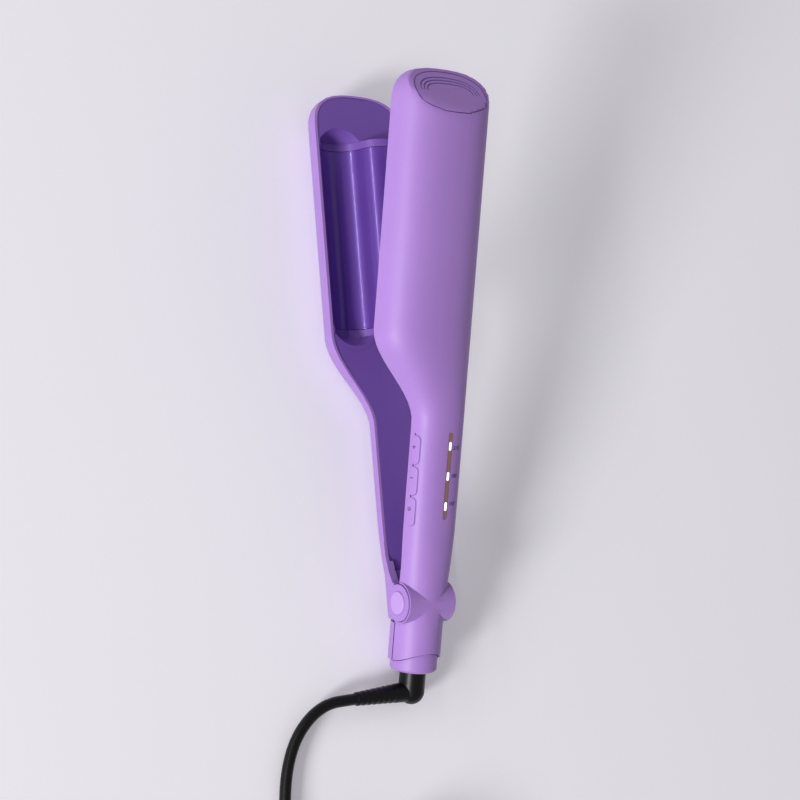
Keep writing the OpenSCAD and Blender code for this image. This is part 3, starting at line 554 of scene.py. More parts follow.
def welded(
    node: str,
    mend: Callable[[np.ndarray], np.ndarray] | None = None,
    weld_mm: float = 0.002,
) -> tuple[np.ndarray, np.ndarray]:
    """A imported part's surface with its loose triangles joined at their corners.

    Args:
        node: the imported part.
        mend: moves the (m, 3, 3) corners of its triangles before they are joined.
        weld_mm: corners nearer than this are one.

    Returns:
        (n, 3) points in millimetres and (m, 3) triangles.
    """
    source = frame["nodes"][node].data
    points = np.empty(len(source.vertices) * 3, np.float32)
    source.vertices.foreach_get("co", points)
    corners = np.empty(len(source.loops), np.int32)
    source.loops.foreach_get("vertex_index", corners)
    places = points.reshape(-1, 3).astype(float)[corners] / MM
    if mend is not None:
        places = mend(places.reshape(-1, 3, 3)).reshape(-1, 3)
    keys = np.round(places / weld_mm).astype(np.int64)
    _, first, back = np.unique(keys, axis=0, return_index=True, return_inverse=True)
    faces = back.reshape(-1, 3)
    a, b, c = faces.T
    return places[first], faces[(a != b) & (b != c) & (c != a)]


@dataclass(frozen=True)
class MouldedParts:
    """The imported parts, each merged into one smooth surface, with its finish."""

    arms: ArmFrame
    paints: Paints
    shell: ShellForm = ShellForm()
    smooth_deg: float = 24.0
    slots: Mapping[str, Slot] = field(
        default_factory=lambda: {
            s["node"]: Slot(s["material_slot"]) for s in frame["record"]["subparts"]
        }
    )
    # Posts inside the upper shell, whose tops are to end flush with its crown
    post_at: tuple[tuple[float, float], ...] = ((36.0, -6.0), (104.0, -6.0))
    post_r: float = 2.75
    # Heights over and under the crown between which a post's top is sought, and
    # how deep its facets lie under the true crown
    post_over: float = 2.0
    post_under: float = 0.5
    facet_sag: float = 0.02
    # A facet over a post is wall where its area square to the arm is a smaller
    # share than this, or smaller than a sliver (mm2, doubled)
    flat_share: float = 0.6
    sliver: float = 1e-4
    # Nodes with a finish of their own
    special: Mapping[str, Finish] = field(
        default_factory=lambda: {"hinge_caps": CAP, "cord_tie": TIE}
    )
    # Nodes that other classes stand for
    left_out: tuple[str, ...] = ("power_cord", "cord_coil", "cord_elbow", "plug_body")

    def build(self) -> None:
        """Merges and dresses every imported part."""
        for body, members in frame["record"]["behaviour"]["bodies"].items():
            for node in members:
                if node in self.left_out:
                    continue
                mend = self.flush_posts if node == "upper_shell" else None
                points, faces = welded(node, mend)
                piece = mesh_object(f"{node}_moulded", points, faces.tolist(), self.smooth_deg)
                self.paints.dress(
                    piece, Body(body), self.slots[node], node,
                    finish=self.special.get(node),
                )

    def flush_posts(self, corners: np.ndarray) -> np.ndarray:
        """Sets the tops of the screw posts flush with the crown of the shell.

        What is left of a post's wall has no height then, and shrinks to a point,
        so that it goes when the corners are joined.

        Args:
            corners: (m, 3, 3) corners of the shell's triangles in the row frame.

        Returns:
            The corners with the tops moved.
        """
        local = self.arms.local(corners)
        crown = self.shell.crown(local[..., 0], local[..., 1])
        above = local[..., 2] - crown
        for x, y in self.post_at:
            away = np.hypot(local[..., 0] - x, local[..., 1] - y)
            top = (away < self.post_r) & (-self.post_under < above)
            top &= above < self.post_over
            local[..., 2] = np.where(top, crown - self.facet_sag, local[..., 2])
            way = np.cross(local[:, 1] - local[:, 0], local[:, 2] - local[:, 0])
            size = np.linalg.norm(way, axis=1)
            steep = way[:, 2] < self.flat_share * size + self.sliver
            wall = (top.all(1) & steep)[:, None, None]
            local = np.where(wall, local[:, :1], local)
        return self.arms.upper(local)


# ---------------------------------------------------------------- cord


@dataclass(frozen=True)
class Coil:
    """The stored length: layers of turns that spiral in and out by turns."""

    centre: tuple[float, float] = (-297.0, 28.0)
    middle: float = 34.4
    step: float = 7.8
    turns_in_layer: float = 1.625
    climb_turns: float = 0.5
    rise: float = 7.0
    layers: int = 4
    base: float = 4.0
    steps_in_turn: int = 48

    def path(self) -> np.ndarray:
        """The coil's centreline.

        At s turns, layer k = floor(s / span), the angle is 90 + 360 s degrees,
        the radius falls or grows by one step a turn, and the height climbs one
        layer in the half turn where the spiral reverses.
        """
        outer = self.middle + self.step * self.turns_in_layer / 2
        inner = outer - self.step * self.turns_in_layer
        span = self.turns_in_layer + self.climb_turns
        total = self.layers * span - self.climb_turns
        s = np.linspace(0, total, int(total * self.steps_in_turn) + 1)
        layer = np.minimum(self.layers - 1, np.floor(s / span))
        t = s - layer * span
        wound = np.minimum(t, self.turns_in_layer) * self.step
        radius = np.where(layer % 2 == 0, outer - wound, inner + wound)
        angle = np.radians(90 + 360 * s)
        height = layer + ease((t - self.turns_in_layer) / self.climb_turns)
        return np.stack(
            [
                self.centre[0] + radius * np.cos(angle),
                self.centre[1] + radius * np.sin(angle),
                self.base + height * self.rise,
            ],
            1,
        )


@dataclass(frozen=True)
class PowerCord:
    """The cord from its strain relief, along the table, round its coil, to the plug."""

    arms: ArmFrame
    paints: Paints
    coil: Coil = Coil()
    diameter: float = 6.2
    swivel_out: float = 50.0
    relief_len: float = 36.0
    relief_tilt_deg: float = 3.0
    plug_at: tuple[float, float, float] = (-350.0, 19.0, 6.95)
    around: int = 20
    span_steps: int = 6
    # Points along the table, between the relief and the coil
    way_out: tuple[tuple[float, float, float], ...] = (
        (-172.7, 38.0, 7.3),
        (-175.6, 45.5, 6.3),
        (-181.0, 52.6, 5.3),
        (-188.5, 58.8, 4.5),
        (-197.5, 63.4, 4.0),
        (-208.0, 66.6, 3.7),
        (-220.0, 68.5, 3.6),
        (-233.0, 69.3, 3.6),
        (-247.0, 69.4, 3.8),
        (-262.0, 69.1, 4.0),
        (-277.0, 68.8, 4.0),
    )
    # Points between the coil and the plug
    way_back: tuple[tuple[float, float, float], ...] = (
        (-319.0, 67.6, 22.6),
        (-331.5, 62.4, 17.2),
        (-340.8, 53.4, 12.8),
        (-347.2, 41.8, 9.4),
        (-349.8, 30.0, 7.2),
    )

    def relief(self) -> tuple[np.ndarray, np.ndarray]:
        """Start of the strain relief at the elbow, and its end, in the row frame."""
        tilt = np.radians(self.relief_tilt_deg)
        elbow = np.array([-self.swivel_out, 0.0, self.arms.tail_up])
        end = elbow + self.relief_len * np.array([-np.sin(tilt), np.cos(tilt), 0.0])
        return self.arms.upper(elbow), self.arms.upper(end)

    def path(self) -> np.ndarray:
        """The whole centreline: one smooth curve, then the coil, then another."""
        elbow, relief_end = self.relief()
        out = (relief_end - elbow) / self.relief_len * self.diameter
        turns = self.coil.path()
        straight = np.array([self.diameter, 0.0, 0.0])
        plug = np.array(self.plug_at)
        first = np.array(
            [relief_end, relief_end + out, *self.way_out, turns[0] + 2 * straight,
             turns[0] + straight, turns[0]]
        )
        last = np.array(
            [turns[-1], turns[-1] - straight, turns[-1] - 2 * straight, *self.way_back,
             plug + [0, self.diameter, 0], plug]
        )
        return np.concatenate(
            [
                smooth_path(first, self.span_steps)[:-1],
                turns,
                smooth_path(last, self.span_steps)[1:],
            ]
        )

    def build(self, with_pieces: Sequence[bpy.types.Object]) -> None:
        path = self.path()
        points = tube_points(path, circle(self.around) * self.diameter / 2)
        faces = ring_faces(len(path), self.around)
        cord = mesh_object("power_cord_whole", points, faces, closed=True)
        self.paints.dress(cord, Body.CORD, Slot.CORD, "power_cord", "cord_coil")


@dataclass(frozen=True)
class CordElbow:
    """The swivel's neck, its ball elbow and the ribbed, tapered strain relief."""

    cord: PowerCord
    neck_r: float = 7.2
    neck_from: float = 32.8
    foot_r: float = 5.8
    end_r: float = 3.7
    rib_pitch: float = 3.4
    rib_depth: float = 0.2
    rib_from: float = 11.0
    around: int = 40
    rings: int = 120
    # Rings of the half ball, the radius that it ends with, and the relief's lip
    ball_rings: int = 16
    ball_end: float = 0.05
    lip_r: float = 0.5

    def neck_profile(self) -> np.ndarray:
        """Radius against distance along the swivel: straight, then a half ball."""
        arc = np.linspace(0, np.pi / 2, self.ball_rings)
        ball = self.cord.swivel_out + self.neck_r * np.sin(arc)
        radius = np.maximum(self.neck_r * np.cos(arc), self.ball_end)
        start = [[self.neck_from, self.neck_r]]
        return np.concatenate([start, np.stack([ball, radius], 1)])

    def relief_radius(self, along: np.ndarray) -> np.ndarray:
        """Radius of the relief: a straight taper with rounded ribs near its end.

        r = foot + (end - foot) s - depth * (1 - cos(2 pi x / pitch)) / 2, where the
        ribs start, and a rounded lip at the very end.

        Args:
            along: distances from the elbow's middle.

        Returns:
            The radius at each.
        """
        share = along / self.cord.relief_len
        taper = self.foot_r + (self.end_r - self.foot_r) * share
        wave = (1 - np.cos(2 * np.pi * (along - self.rib_from) / self.rib_pitch)) / 2
        ribs = np.where(along > self.rib_from, wave, 0) * self.rib_depth
        lip = np.clip((self.cord.relief_len - along) / self.lip_r, 0, 1)
        return (taper - ribs) - self.lip_r * (1 - np.sqrt(1 - (1 - lip) ** 2))

    def build(self) -> bpy.types.Object:
        """Makes the two surfaces as one piece, and returns it."""
        profile = self.neck_profile()
        unit = circle(self.around)
        neck = np.stack(
            [
                np.repeat(-profile[:, 0], self.around),
                (profile[:, 1:2] * unit[:, 0]).ravel(),
                (profile[:, 1:2] * unit[:, 1]).ravel() + self.cord.arms.tail_up,
            ],
            1,
        )
        start, end = self.cord.relief()
        along = np.linspace(0, self.cord.relief_len, self.rings)
        path = start + (end - start) * (along / self.cord.relief_len)[:, None]
        section = self.relief_radius(along)[:, None, None] * unit
        relief = tube_points(path, section)
        points = np.concatenate([self.cord.arms.upper(neck), relief])
        first = ring_faces(len(profile), self.around)
        shift = len(neck)
        second = [[i + shift for i in f] for f in ring_faces(self.rings, self.around)]
        piece = mesh_object("cord_elbow_boot", points, first + second, closed=True)
        self.cord.paints.dress(piece, Body.CORD, Slot.CORD, "cord_elbow")
        return piece


@dataclass(frozen=True)
class PlugMoulding:
    """The moulded plug: a ribbed boot that widens into a flat, rounded body."""

    cord: PowerCord
    boot_len: float = 20.0
    body_len: float = 34.0
    width: float = 35.3
    thickness: float = 13.7
    waist: float = 14.0
    straight: float = 12.0
    edge: float = 1.6
    edge_rings: int = 7
    edge_from: float = 0.2
    # Wall over the cord, the boot's draw-in at the waist, and the boot's ribs
    wall: float = 0.5
    draw_in: float = 1.4
    rib_pitch: float = 4.0
    rib_depth: float = 0.3
    rib_short: float = 2.0
    # The section flattens and squares from this far before the waist
    early: float = 4.0
    flatten: float = 10.0
    square_len: float = 12.0
    squarer: float = 2.6
    around: int = 64
    rings: int = 90

    def build(self) -> bpy.types.Object:
        """Makes the plug as one loft of superellipses, and returns it.

        Along s, the half width runs from the cord to the waist, then eases out
        to the full width; the power runs from 2, a circle, to nearly a box; the
        last millimetres round in towards the flat face.
        """
        total = self.boot_len + self.body_len
        corner = np.sin(np.linspace(self.edge_from, 1, self.edge_rings) * np.pi / 2)
        flat_end = total - self.edge
        s = np.concatenate([np.linspace(0, flat_end, self.rings), flat_end + self.edge * corner])
        past = s - self.boot_len
        radius = self.cord.diameter / 2 + self.wall
        waist = self.waist / 2 - self.draw_in
        boot = radius + (waist - radius) * np.clip(s / self.boot_len, 0, 1)
        body = ease(past / (self.body_len - self.straight))
        flat = ease((past + self.early) / self.flatten)
        half_w = boot + (self.width / 2 - waist) * body
        half_t = boot + (self.thickness / 2 - waist) * flat
        wave = (1 - np.cos(2 * np.pi * s / self.rib_pitch)) / 2
        ribs = self.rib_depth * wave * (past < -self.rib_short)
        tuck = np.clip((s - flat_end) / self.edge, 0, 1)
        shrink = ribs + self.edge * (1 - np.sqrt(1 - tuck**2))
        power = 2 + self.squarer * ease((past + self.early) / self.square_len)
        angle = np.linspace(0, 2 * np.pi, self.around, endpoint=False)
        c, sn = np.cos(angle), np.sin(angle)
        e = (2 / power)[:, None]
        across = (half_w - shrink)[:, None] * np.sign(c) * np.abs(c) ** e
        up = (half_t - shrink)[:, None] * np.sign(sn) * np.abs(sn) ** e
        plug = np.array(self.cord.plug_at)
        points = np.stack(
            [plug[0] - across, np.broadcast_to((plug[1] - s)[:, None], across.shape),
             plug[2] + up],
            -1,
        )
        faces = ring_faces(len(s), self.around)
        piece = mesh_object("plug_moulding", points.reshape(-1, 3), faces, closed=True)
        self.cord.paints.dress(piece, Body.CORD, Slot.CORD, "plug_body")
        return piece


# ---------------------------------------------------------------- printed marks


@dataclass(frozen=True)
class Marks:
    """Generic marks printed on the handle: plus, minus, power and temperatures, and a dark dot of painted shade at
    the tip end of each key.
    """

    arms: ArmFrame
    paints: Paints
    shell: ShellForm = ShellForm()
    proud: float = 0.3
    lift: float = 0.08
    icon_shift: float = 1.5
    icon_z: float = 8.2
    icon: float = 2.1
    stroke: float = 0.42
    dot: tuple[float, float] = (0.62, 0.42)
    dot_steps: int = 20
    ring_steps: int = 28
    label_first: float = 55.3
    label_pitch: float = 15.0
    label_y: float = -6.9
    label_size: float = 2.9
    labels: tuple[str, ...] = ("150\u00b0", "180\u00b0", "210\u00b0")

    def on_crown(self, flat: np.ndarray) -> np.ndarray:
        """Lays flat marks on the crown of the handle."""
        x, y = flat.T
        return np.stack([x, y, self.shell.crown(x, y) + self.lift], 1)

    def on_side(self, flat: np.ndarray, proud: float) -> np.ndarray:
        """Lays flat marks on the side wall of the handle, or on the keys."""
        x, z = flat.T
        return np.stack([x, self.shell.side(z) + proud + self.lift, z], 1)

    @staticmethod
    def strip(centre: np.ndarray, half: np.ndarray, turned: bool) -> np.ndarray:
        """Corners of a bar, turning left."""
        corners = np.array([[-1, -1], [1, -1], [1, 1], [-1, 1]]) * half
        return centre + (corners[:, ::-1] if turned else corners)

    def ring(self, centre: np.ndarray) -> tuple[np.ndarray, list[list[int]]]:
        """The power sign's ring, open by a quarter towards the tip."""
        angle = np.linspace(np.pi / 4, 2 * np.pi - np.pi / 4, self.ring_steps)
        unit = np.stack([np.cos(angle), np.sin(angle)], 1)
        radius = self.icon / 2
        points = np.concatenate([unit * (radius - self.stroke), unit * radius]) + centre
        i = np.arange(len(angle) - 1)
        quads = np.stack([i, i + len(angle), i + 1 + len(angle), i + 1], 1)
        return points, quads.tolist()

    def icon_on_key(self, which: int) -> tuple[np.ndarray, list[list[int]]]:
        """Points and faces of a key's sign: 0 power, 1 minus, 2 plus."""
        centre = np.array([self.shell.key_at(which) + self.icon_shift, self.icon_z])
        half = np.array([self.icon / 2, self.stroke / 2])
        if which == 0:
            points, faces = self.ring(centre)
            stem = self.strip(centre + [self.icon / 3, 0], half * [0.5, 1], False)
            return np.concatenate([points, stem]), faces + [[len(points) + i for i in range(4)]]
        bars = [self.strip(centre, half, True)]
        if which == 2:
            bars.append(self.strip(centre, half, False))
        faces = [[4 * i + j for j in range(4)] for i in range(len(bars))]
        return np.concatenate(bars), faces

    def text(self, words: str) -> tuple[np.ndarray, list[list[int]]]:
        """Points (n, 2) and faces of some digits, centred on the origin."""
        curve = bpy.data.curves.new(words, "FONT")
        curve.body = words
        curve.size = self.label_size
        curve.align_x = "CENTER"
        curve.align_y = "CENTER"
        holder = bpy.data.objects.new(words, curve)
        bpy.context.scene.collection.objects.link(holder)
        bpy.context.view_layer.update()
        mesh = bpy.data.meshes.new_from_object(
            holder.evaluated_get(bpy.context.evaluated_depsgraph_get())
        )
        points = np.empty(len(mesh.vertices) * 3, np.float32)
        mesh.vertices.foreach_get("co", points)
        faces = [list(p.vertices) for p in mesh.polygons]
        bpy.data.objects.remove(holder)
        return points.reshape(-1, 3)[:, :2].astype(float), faces

    def build(self) -> None:
        """Prints every mark and sets it on its body."""
        out, up = np.eye(3)[1:]
        keys = ((Body.POWER, "power_sign"), (Body.MINUS, "minus_sign"), (Body.PLUS, "plus_sign"))
        for which, (body, name) in enumerate(keys):
            points, faces = self.icon_on_key(which)
            self.place(name, self.on_side(points, self.proud), faces, body, out)
        for which, words in enumerate(self.labels):
            flat, faces = self.text(words)
            centre = [self.label_first + which * self.label_pitch, self.label_y]
            points = self.on_crown(np.stack([flat[:, 1], -flat[:, 0]], 1) + centre)
            self.place(f"temperature_{words[:3]}", points, faces, Body.MAIN, up)
            # Dark dot at the tip end of each key: painted shadow of the gap there, laid flat on the side wall
            middle = [self.shell.key_at(which + 0.5), self.icon_z]
            rim = circle(self.dot_steps) * self.dot + middle
            face = [list(range(self.dot_steps))]
            name = f"key_end_painted_shade_{which + 1}"
            self.place(name, self.on_side(rim, 0), face, Body.MAIN, out)

    def place(
        self,
        name: str,
        points: np.ndarray,
        faces: list[list[int]],
        body: Body,
        outward: np.ndarray,
    ) -> None:
        """Makes one mark, with its faces turned outwards.

        Args:
            name: the piece's name.
            points: (n, 3) points in the arms' frame.
            faces: vertex numbers of each face.
            body: what it rides on.
            outward: direction out of the surface, in the arms' frame.
        """
        a, b, c = (points[[f[i] for f in faces]] for i in range(3))
        facing = np.cross(b - a, c - a) @ outward
        turned = [f if way > 0 else f[::-1] for f, way in zip(faces, facing)]
        piece = mesh_object(name, self.arms.upper(points), turned)
        self.paints.dress(piece, body, Slot.NYLON, finish=INK_AND_PAINTED_SHADE)


# ---------------------------------------------------------------- joint lines


@dataclass(frozen=True)
class JointLines:
    """Dark beads that paint the shadow in the joints of the mouldings, lilac beads in the keys' gaps, and the grip
    lines' floors, darker for painted shade.
    """

    arms: ArmFrame
    paints: Paints
    shell: ShellForm = ShellForm()
    bead_r: float = 0.2
    tail_bead_r: float = 0.36
    key_bead_r: float = 0.115
    arm_len: float = 284.0
    head_off: float = 12.4
    cap_back: float = 12.0
    tip_edge: float = 2.3
    tip_slope: float = 0.85
    cap_across: float = 22.2
    cap_along: float = 13.4
    oval_power: float = 0.85
    # Rim of a cap: what counts as one place, the least step, and how much deeper
    # the bead lies where the cap is cut off under the crown
    same: float = 0.05
    rim_step: float = 0.2
    cut_at: float = -0.5
    cut_sink: float = 0.12
    arc_step: float = 2.0
    arc_inset: float = 1.4
    arc_w: float = 0.8
    arc_lap: float = 0.05
    arc_lift: float = 0.03
    arc_deep: float = 0.35
    tail_side: float = 32.0
    tail_arch: float = 26.5
    arch_r: float = 22.0
    collar_r: float = 12.8
    cover_top: float = 11.6
    seam: float = 0.25
    key_len: float = 15.4
    key_w: float = 5.0
    key_z: float = 9.0
    key_sink: float = 0.1
    wave_p: float = 25.65
    wave_r: float = 13.3
    wave_d: float = 9.4
    wave_angle: float = 65.0
    lip_middle: float = 1.45
    foot_in: float = 1.2
    wall_foot: float = 0.9
    wall_x: float = 257.85
    wall_t: float = 0.9
    # Room between the tail's loop and the collar, and where the side joints end
    loop_gap: float = 0.12
    line_end: float = 0.2
    # Points round a bead, and along each path and arc
    around: int = 8
    key_steps: int = 64
    wave_steps: int = 33
    oval_steps: int = 49
    loop_steps: int = 144
    line_steps: int = 24

    def build(self) -> None:
        """Makes every joint line and sets it on its body."""
        sides = (
            ("upper", Body.MAIN, self.arms.upper, -1),
            ("lower", Body.LOWER, self.arms.lower, 1),
        )
        for name, body, place, side in sides:
            axes = self.bevel_axes(place)
            rim = self.cap_rim(f"{name}_tip_cap", axes)
            # Dark bead round the cap: painted shadow of the joint's gap
            self.bead(f"{name}_cap_joint", rim, axes[3], body)
            for i in range(1, 4):
                # Each grip line's floor is darker than the shell: painted shade in the groove
                points, faces = self.grip_line(i)
                piece = mesh_object(f"{name}_grip_line_{i}", place(points), faces)
                if piece.data.polygons[0].normal @ Vector(axes[3]) < 0:
                    piece.data.flip_normals()
                self.paints.dress(piece, body, Slot.VIOLET, finish=GRIP_SHADE)
            points, faces = self.ridge_end(side)
            piece = mesh_object(f"{name}_ridge_end", place(points), faces, closed=True)
            self.paints.dress(piece, body, Slot.VIOLET)
        for i, name in enumerate(("power", "minus", "plus")):
            line = self.arms.upper(self.key_line(i))
            self.bead(f"{name}_key_gasket", line, np.eye(3)[1], Body.MAIN,
                      self.key_bead_r, finish=FINISHES[Slot.LILAC])
        # Dark beads round and along the tail: painted shadow of its joints' gaps
        lines = (
            ("tail_joint", self.tail_loop(), [1, 0, 0]),
            ("tail_joint_key_side", self.tail_line(1), [0, 0, 1]),
            ("tail_joint_far_side", self.tail_line(-1), [0, 0, 1]),
        )
        for i, (name, line, ref) in enumerate(lines):
            self.bead(name, self.arms.upper(line), self.arms.upper_way(ref),
                      Body.MAIN, self.tail_bead_r, closed=i == 0)

    def on_bevel(self, flat: np.ndarray) -> np.ndarray:
        """Lays points on the slanted end face.

        Args:
            flat: (n, 3) places down its slope, across it and out of it, from its
                middle.

        Returns:
            (n, 3) points in the arms' frame.
        """
        tilt = np.arctan(self.tip_slope)
        rise = self.tip_edge + self.cap_back * self.tip_slope
        middle = [self.arm_len - self.cap_back, self.head_off, rise]
        c, s = np.cos(tilt), np.sin(tilt)
        return middle + flat @ np.array([[c, 0, -s], [0, 1, 0], [s, 0, c]])

    def bevel_axes(self, place: Callable[[np.ndarray], np.ndarray]) -> np.ndarray:
        """The slanted end face's middle and its directions, in the row frame."""
        placed = place(self.on_bevel(np.vstack([np.zeros(3), np.eye(3)])))
        placed[1:] -= placed[0]
        return placed

    def cap_rim(self, node: str, axes: np.ndarray) -> np.ndarray:
        """Path round the rim of a tip cap, in order round its middle.

        Seen square to the bevel the cap is convex: an oval, cut where the crown
        falls away under it. The rim is its outline, at the top of its wall.

        Args:
            node: the cap.
            axes: the bevel's middle and directions.

        Returns:
            (n, 3) points in the row frame.
        """
        flat = (welded(node)[0] - axes[0]) @ axes[1:].T
        rim = flat[convex_hull_2d([Vector(p) for p in flat[:, :2].tolist()])]
        apart = np.linalg.norm(rim[:, None, :2] - flat[:, :2], axis=2)
        rim[:, 2] = np.where(apart < self.same, flat[:, 2], -np.inf).max(1)
        gap = np.linalg.norm(rim - np.roll(rim, 1, axis=0), axis=1)
        rim = rim[gap > self.rim_step]
        cut_off = rim[:, 2] < self.cut_at
        size = np.linalg.norm(rim[:, :2], axis=1)[:, None]
        rim[:, :2] *= 1 + self.seam / 2 / size
        rim[:, 2] -= self.bead_r / 4 + self.cut_sink * cut_off
        return axes[0] + rim @ axes[1:]

    def key_line(self, i: int) -> np.ndarray:
        """Path in the gap round a key: a slot shape laid on the handle's side wall."""
        radius = self.key_w / 2 + self.seam / 2
        along, up = (radius * circle(self.key_steps)).T
        along = along + np.sign(along) * (self.key_len - self.key_w) / 2
        x = self.shell.key_at(i) + along
        z = self.key_z + up
        return np.stack([x, self.shell.side(z) - self.key_sink, z], 1)

    def ridge_end(self, side: int) -> tuple[np.ndarray, list[list[int]]]:
        """Wall that closes the ridge behind the tip's lip.

        Its outline is the wave's arc (-p/2 + (r - o) sin a, r - d - (r - o) cos a)
        for a within the wave's angle, closed straight behind the face.

        Args:
            side: 1 for the lower arm, -1 for the upper.

        Returns:
            (n, 3) points in the arms' frame and faces.
        """
        angle = np.radians(np.linspace(-self.wave_angle, self.wave_angle, self.wave_steps))
        radius = self.wave_r - self.lip_middle
        across = -self.wave_p / 2 + radius * np.sin(angle)
        up = self.wave_r - self.wave_d - radius * np.cos(angle)
        foot = (self.wave_p / 2 - self.foot_in) * np.array([1, -1])
        across = side * np.concatenate([across, -self.wave_p / 2 + foot])
        up = np.concatenate([up, [self.wall_foot, self.wall_foot]])
        ends = np.array([self.wall_x - self.wall_t, self.wall_x])
        n = len(up)
        y = self.head_off + np.tile(across, 2)
        points = np.stack([np.repeat(ends, n), y, np.tile(up, 2)], 1)
        return points, ring_faces(2, n)

    def grip_line(self, i: int) -> tuple[np.ndarray, list[list[int]]]:
        """Floor of one grip line: a band between two half ovals on the bevel.

        An oval is (along * c^p, across * s^p), with c and s of the angle and the
        sign of each kept.

        Args:
            i: which line, from 1 at the rim.

        Returns:
            (n, 3) points in the arms' frame and quads.
        """
        angle = np.radians(np.linspace(-90, 90, self.oval_steps))
        unit = np.stack([np.cos(angle), np.sin(angle)], 1)
        unit = np.sign(unit) * np.abs(unit) ** self.oval_power
        size = np.array([self.cap_along, self.cap_across]) - i * self.arc_step
        size = size - self.arc_inset + [[-self.arc_lap], [self.arc_lap - self.arc_w]]
        flat = (unit * size[:, None]).reshape(-1, 2)
        depth = np.full(len(flat), self.arc_lift - self.arc_deep)
        k = np.arange(len(angle) - 1)
        quads = np.stack([k, k + 1, k + 1 + len(angle), k + len(angle)], 1)
        return self.on_bevel(np.column_stack([flat, depth])), quads.tolist()

    def tail_loop(self) -> np.ndarray:
        """Foot of the tail's end round the collar: an arch above, square below.

        Above the joint x = -(arch + r) + sqrt(r^2 - y^2), below it x = -tail_side.

        Returns:
            (n, 3) points in the arms' frame.
        """
        radius = self.collar_r + self.loop_gap
        y, z = (radius * circle(self.loop_steps)).T
        edge = y * self.shell.tail_r / radius
        arch = -self.tail_arch - self.arch_r + np.sqrt(self.arch_r**2 - edge**2)
        x = np.where(z > 0, arch, -self.tail_side) - self.bead_r / 2
        return np.stack([x, y, z + self.arms.tail_up], 1)

    def tail_line(self, side: int) -> np.ndarray:
        """Joint along one side of the tail, between its shell and its cover."""
        x = np.linspace(-self.cover_top, -self.tail_side + self.line_end, self.line_steps)
        y = np.full_like(x, side * (self.shell.tail_r - self.bead_r / 2))
        return np.stack([x, y, np.full_like(x, self.arms.tail_up - self.seam / 2)], 1)

    def bead(
        self,
        name: str,
        path: np.ndarray,
        ref: np.ndarray,
        body: Body,
        radius: float = bead_r,
        closed: bool = True,
        finish: Finish = JOINT_SHADOW,
    ) -> None:
        """Lays a bead along a joint; by default dark, as painted shadow in the joint.

        Args:
            name: the piece's name.
            path: its centres in the row frame.
            ref: a direction that the path never takes.
            body: what it rides on.
            radius: the bead's radius.
            closed: True where it closes on itself.
            finish: its finish, where it isn't the painted joint shadow.
        """
        points = tube_points(path, circle(self.around) * radius, ref, closed)
        faces = ring_faces(len(path), self.around, closed)
        piece = mesh_object(name, points, faces, closed=True)
        self.paints.dress(piece, body, Slot.VIOLET, finish=finish)


# ---------------------------------------------------------------- stage


@dataclass(frozen=True)
class Lamp:
    """A soft lamp that looks at the object, with its length along X."""

    name: str
    way: tuple[float, float, float]
    away_m: float
    watts: float
    size_m: tuple[float, float]
    aim_m: tuple[float, float, float] = (0.03, 0.0, 0.04)

    def build(self) -> None:
        """Adds the lamp."""
        data = bpy.data.lights.new(self.name, "AREA")
        data.energy = self.watts
        data.shape = "RECTANGLE"
        data.size, data.size_y = self.size_m
        back = Vector(self.way).normalized()
        across = back.cross(Vector((1, 0, 0))).normalized()
        turn = Matrix([across.cross(back), across, back]).transposed().to_4x4()
        lamp = bpy.data.objects.new(self.name, data)
        place = Vector(self.aim_m) + back * self.away_m
        lamp.matrix_world = Matrix.Translation(place) @ turn
        bpy.context.scene.collection.objects.link(lamp)


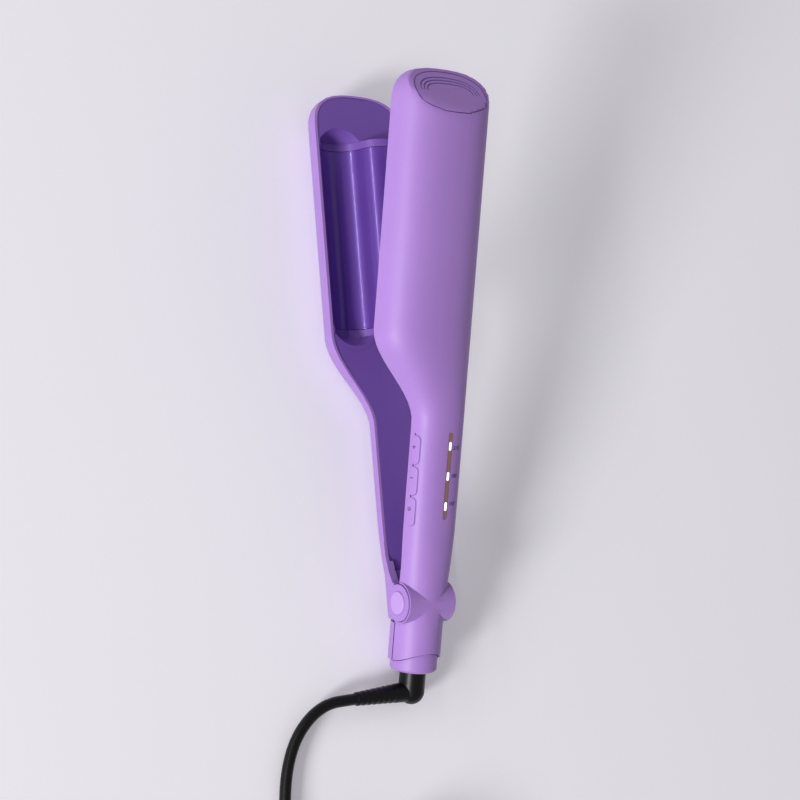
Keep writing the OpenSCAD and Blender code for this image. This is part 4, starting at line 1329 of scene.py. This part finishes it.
@dataclass(frozen=True)
class Studio:
    """Plain pale floor, soft light from the photograph's left, and the camera."""

    # Camera, from the outlines of both arms in the photograph
    eye_mm: tuple[float, float, float] = (-164.71, 570.15, 871.78)
    forward: tuple[float, float, float] = (0.14719, -0.55886, -0.8161)
    upward: tuple[float, float, float] = (0.98568, 0.01426, 0.16801)
    focal_px: float = 1891.61
    picture_px: float = 800.0
    sensor_mm: float = 36.0
    floor_m: float = 8.0
    floor_down_m: float = 0.0002
    floor_shades: tuple[str, str] = ("F1EFF5", "EFEDF3")
    floor_lift: float = 0.14
    sky: float = 0.36
    sky_shade: str = "F6F3FA"
    # The key stands beside the keys' side and low behind the tail, the strip on
    # the same side, along the arms
    lamps: tuple[Lamp, ...] = (
        Lamp("key", (-0.42, 0.85, 0.33), 4.5, 150.0, (0.9, 0.9)),
        Lamp("strip", (0.23, 0.83, 0.5), 2.4, 15.0, (2.6, 0.1)),
    )

    def axes(self) -> tuple[Vector, Vector, Vector]:
        """The picture's right, up and forward, as unit vectors square to each other."""
        forward = Vector(self.forward).normalized()
        right = forward.cross(Vector(self.upward)).normalized()
        return right, right.cross(forward), forward

    def build(self) -> None:
        """Adds the camera, the floor, the sky and the lamps."""
        right, up, forward = self.axes()
        data = bpy.data.cameras.new("camera")
        data.sensor_width = self.sensor_mm
        data.lens = self.focal_px / self.picture_px * self.sensor_mm
        data.clip_end = 100
        camera = bpy.data.objects.new("camera", data)
        turn = Matrix([right, up, -forward]).transposed().to_4x4()
        camera.matrix_world = Matrix.Translation(Vector(self.eye_mm) * MM) @ turn
        bpy.context.scene.collection.objects.link(camera)
        bpy.context.scene.camera = camera
        self.floor()
        self.world()
        for lamp in self.lamps:
            lamp.build()

    def floor(self) -> None:
        """Adds the floor: matt pale paper with a faint mottle."""
        half = self.floor_m / 2
        mesh = bpy.data.meshes.new("floor")
        corners = [(-half, -half, 0), (half, -half, 0), (half, half, 0), (-half, half, 0)]
        mesh.from_pydata(corners, [], [(0, 1, 2, 3)])
        floor = bpy.data.objects.new("floor", mesh)
        floor.location.z = -self.floor_down_m
        bpy.context.scene.collection.objects.link(floor)
        paper = Finish("matt_paper", *self.floor_shades, 0.9, wander_mm=200, grain_mm=2)
        material = paper.build()
        self.lift_for_camera(material)
        floor.data.materials.append(material)

    def lift_for_camera(self, material: bpy.types.Material) -> None:
        """Makes the floor a little paler to the camera and in gloss, not to the object."""
        tree = material.node_tree
        shader = next(n for n in tree.nodes if n.type == "BSDF_PRINCIPLED")
        ray = add_node(tree, "ShaderNodeLightPath")
        seen = add_node(tree, "ShaderNodeMath", {"operation": "MAXIMUM"})
        tree.links.new(ray.outputs["Is Camera Ray"], seen.inputs[0])
        tree.links.new(ray.outputs["Is Glossy Ray"], seen.inputs[1])
        lift = add_node(
            tree, "ShaderNodeMath", {"operation": "MULTIPLY"}, {"Value": seen.outputs[0]}
        )
        lift.inputs[1].default_value = self.floor_lift
        tree.links.new(lift.outputs[0], shader.inputs["Emission Strength"])

    def world(self) -> None:
        """Sets an even, nearly white sky."""
        world = bpy.data.worlds.new("sky")
        world.use_nodes = True
        tree = world.node_tree
        tree.nodes.clear()
        look = {"Color": linear(self.sky_shade), "Strength": self.sky}
        sky = add_node(tree, "ShaderNodeBackground", look).outputs["Background"]
        add_node(tree, "ShaderNodeOutputWorld", links={"Surface": sky})
        bpy.context.scene.world = world


def main() -> None:
    """Builds the piece groups in order."""
    logging.basicConfig(level=logging.INFO, format="%(name)s %(message)s")
    bpy.context.scene.view_settings.view_transform = "Standard"
    Studio().build()
    arms, paints = ArmFrame.read(), Paints()
    cord = PowerCord(arms, paints)
    elbow = CordElbow(cord).build()
    plug = PlugMoulding(cord).build()
    MouldedParts(arms, paints).build()
    tie = bpy.data.objects["cord_tie_moulded"]
    pins = bpy.data.objects["plug_pins_moulded"]
    cord.build([elbow, plug, pins, tie])
    Marks(arms, paints).build()
    JointLines(arms, paints).build()


if __name__ == "__main__":
    main()
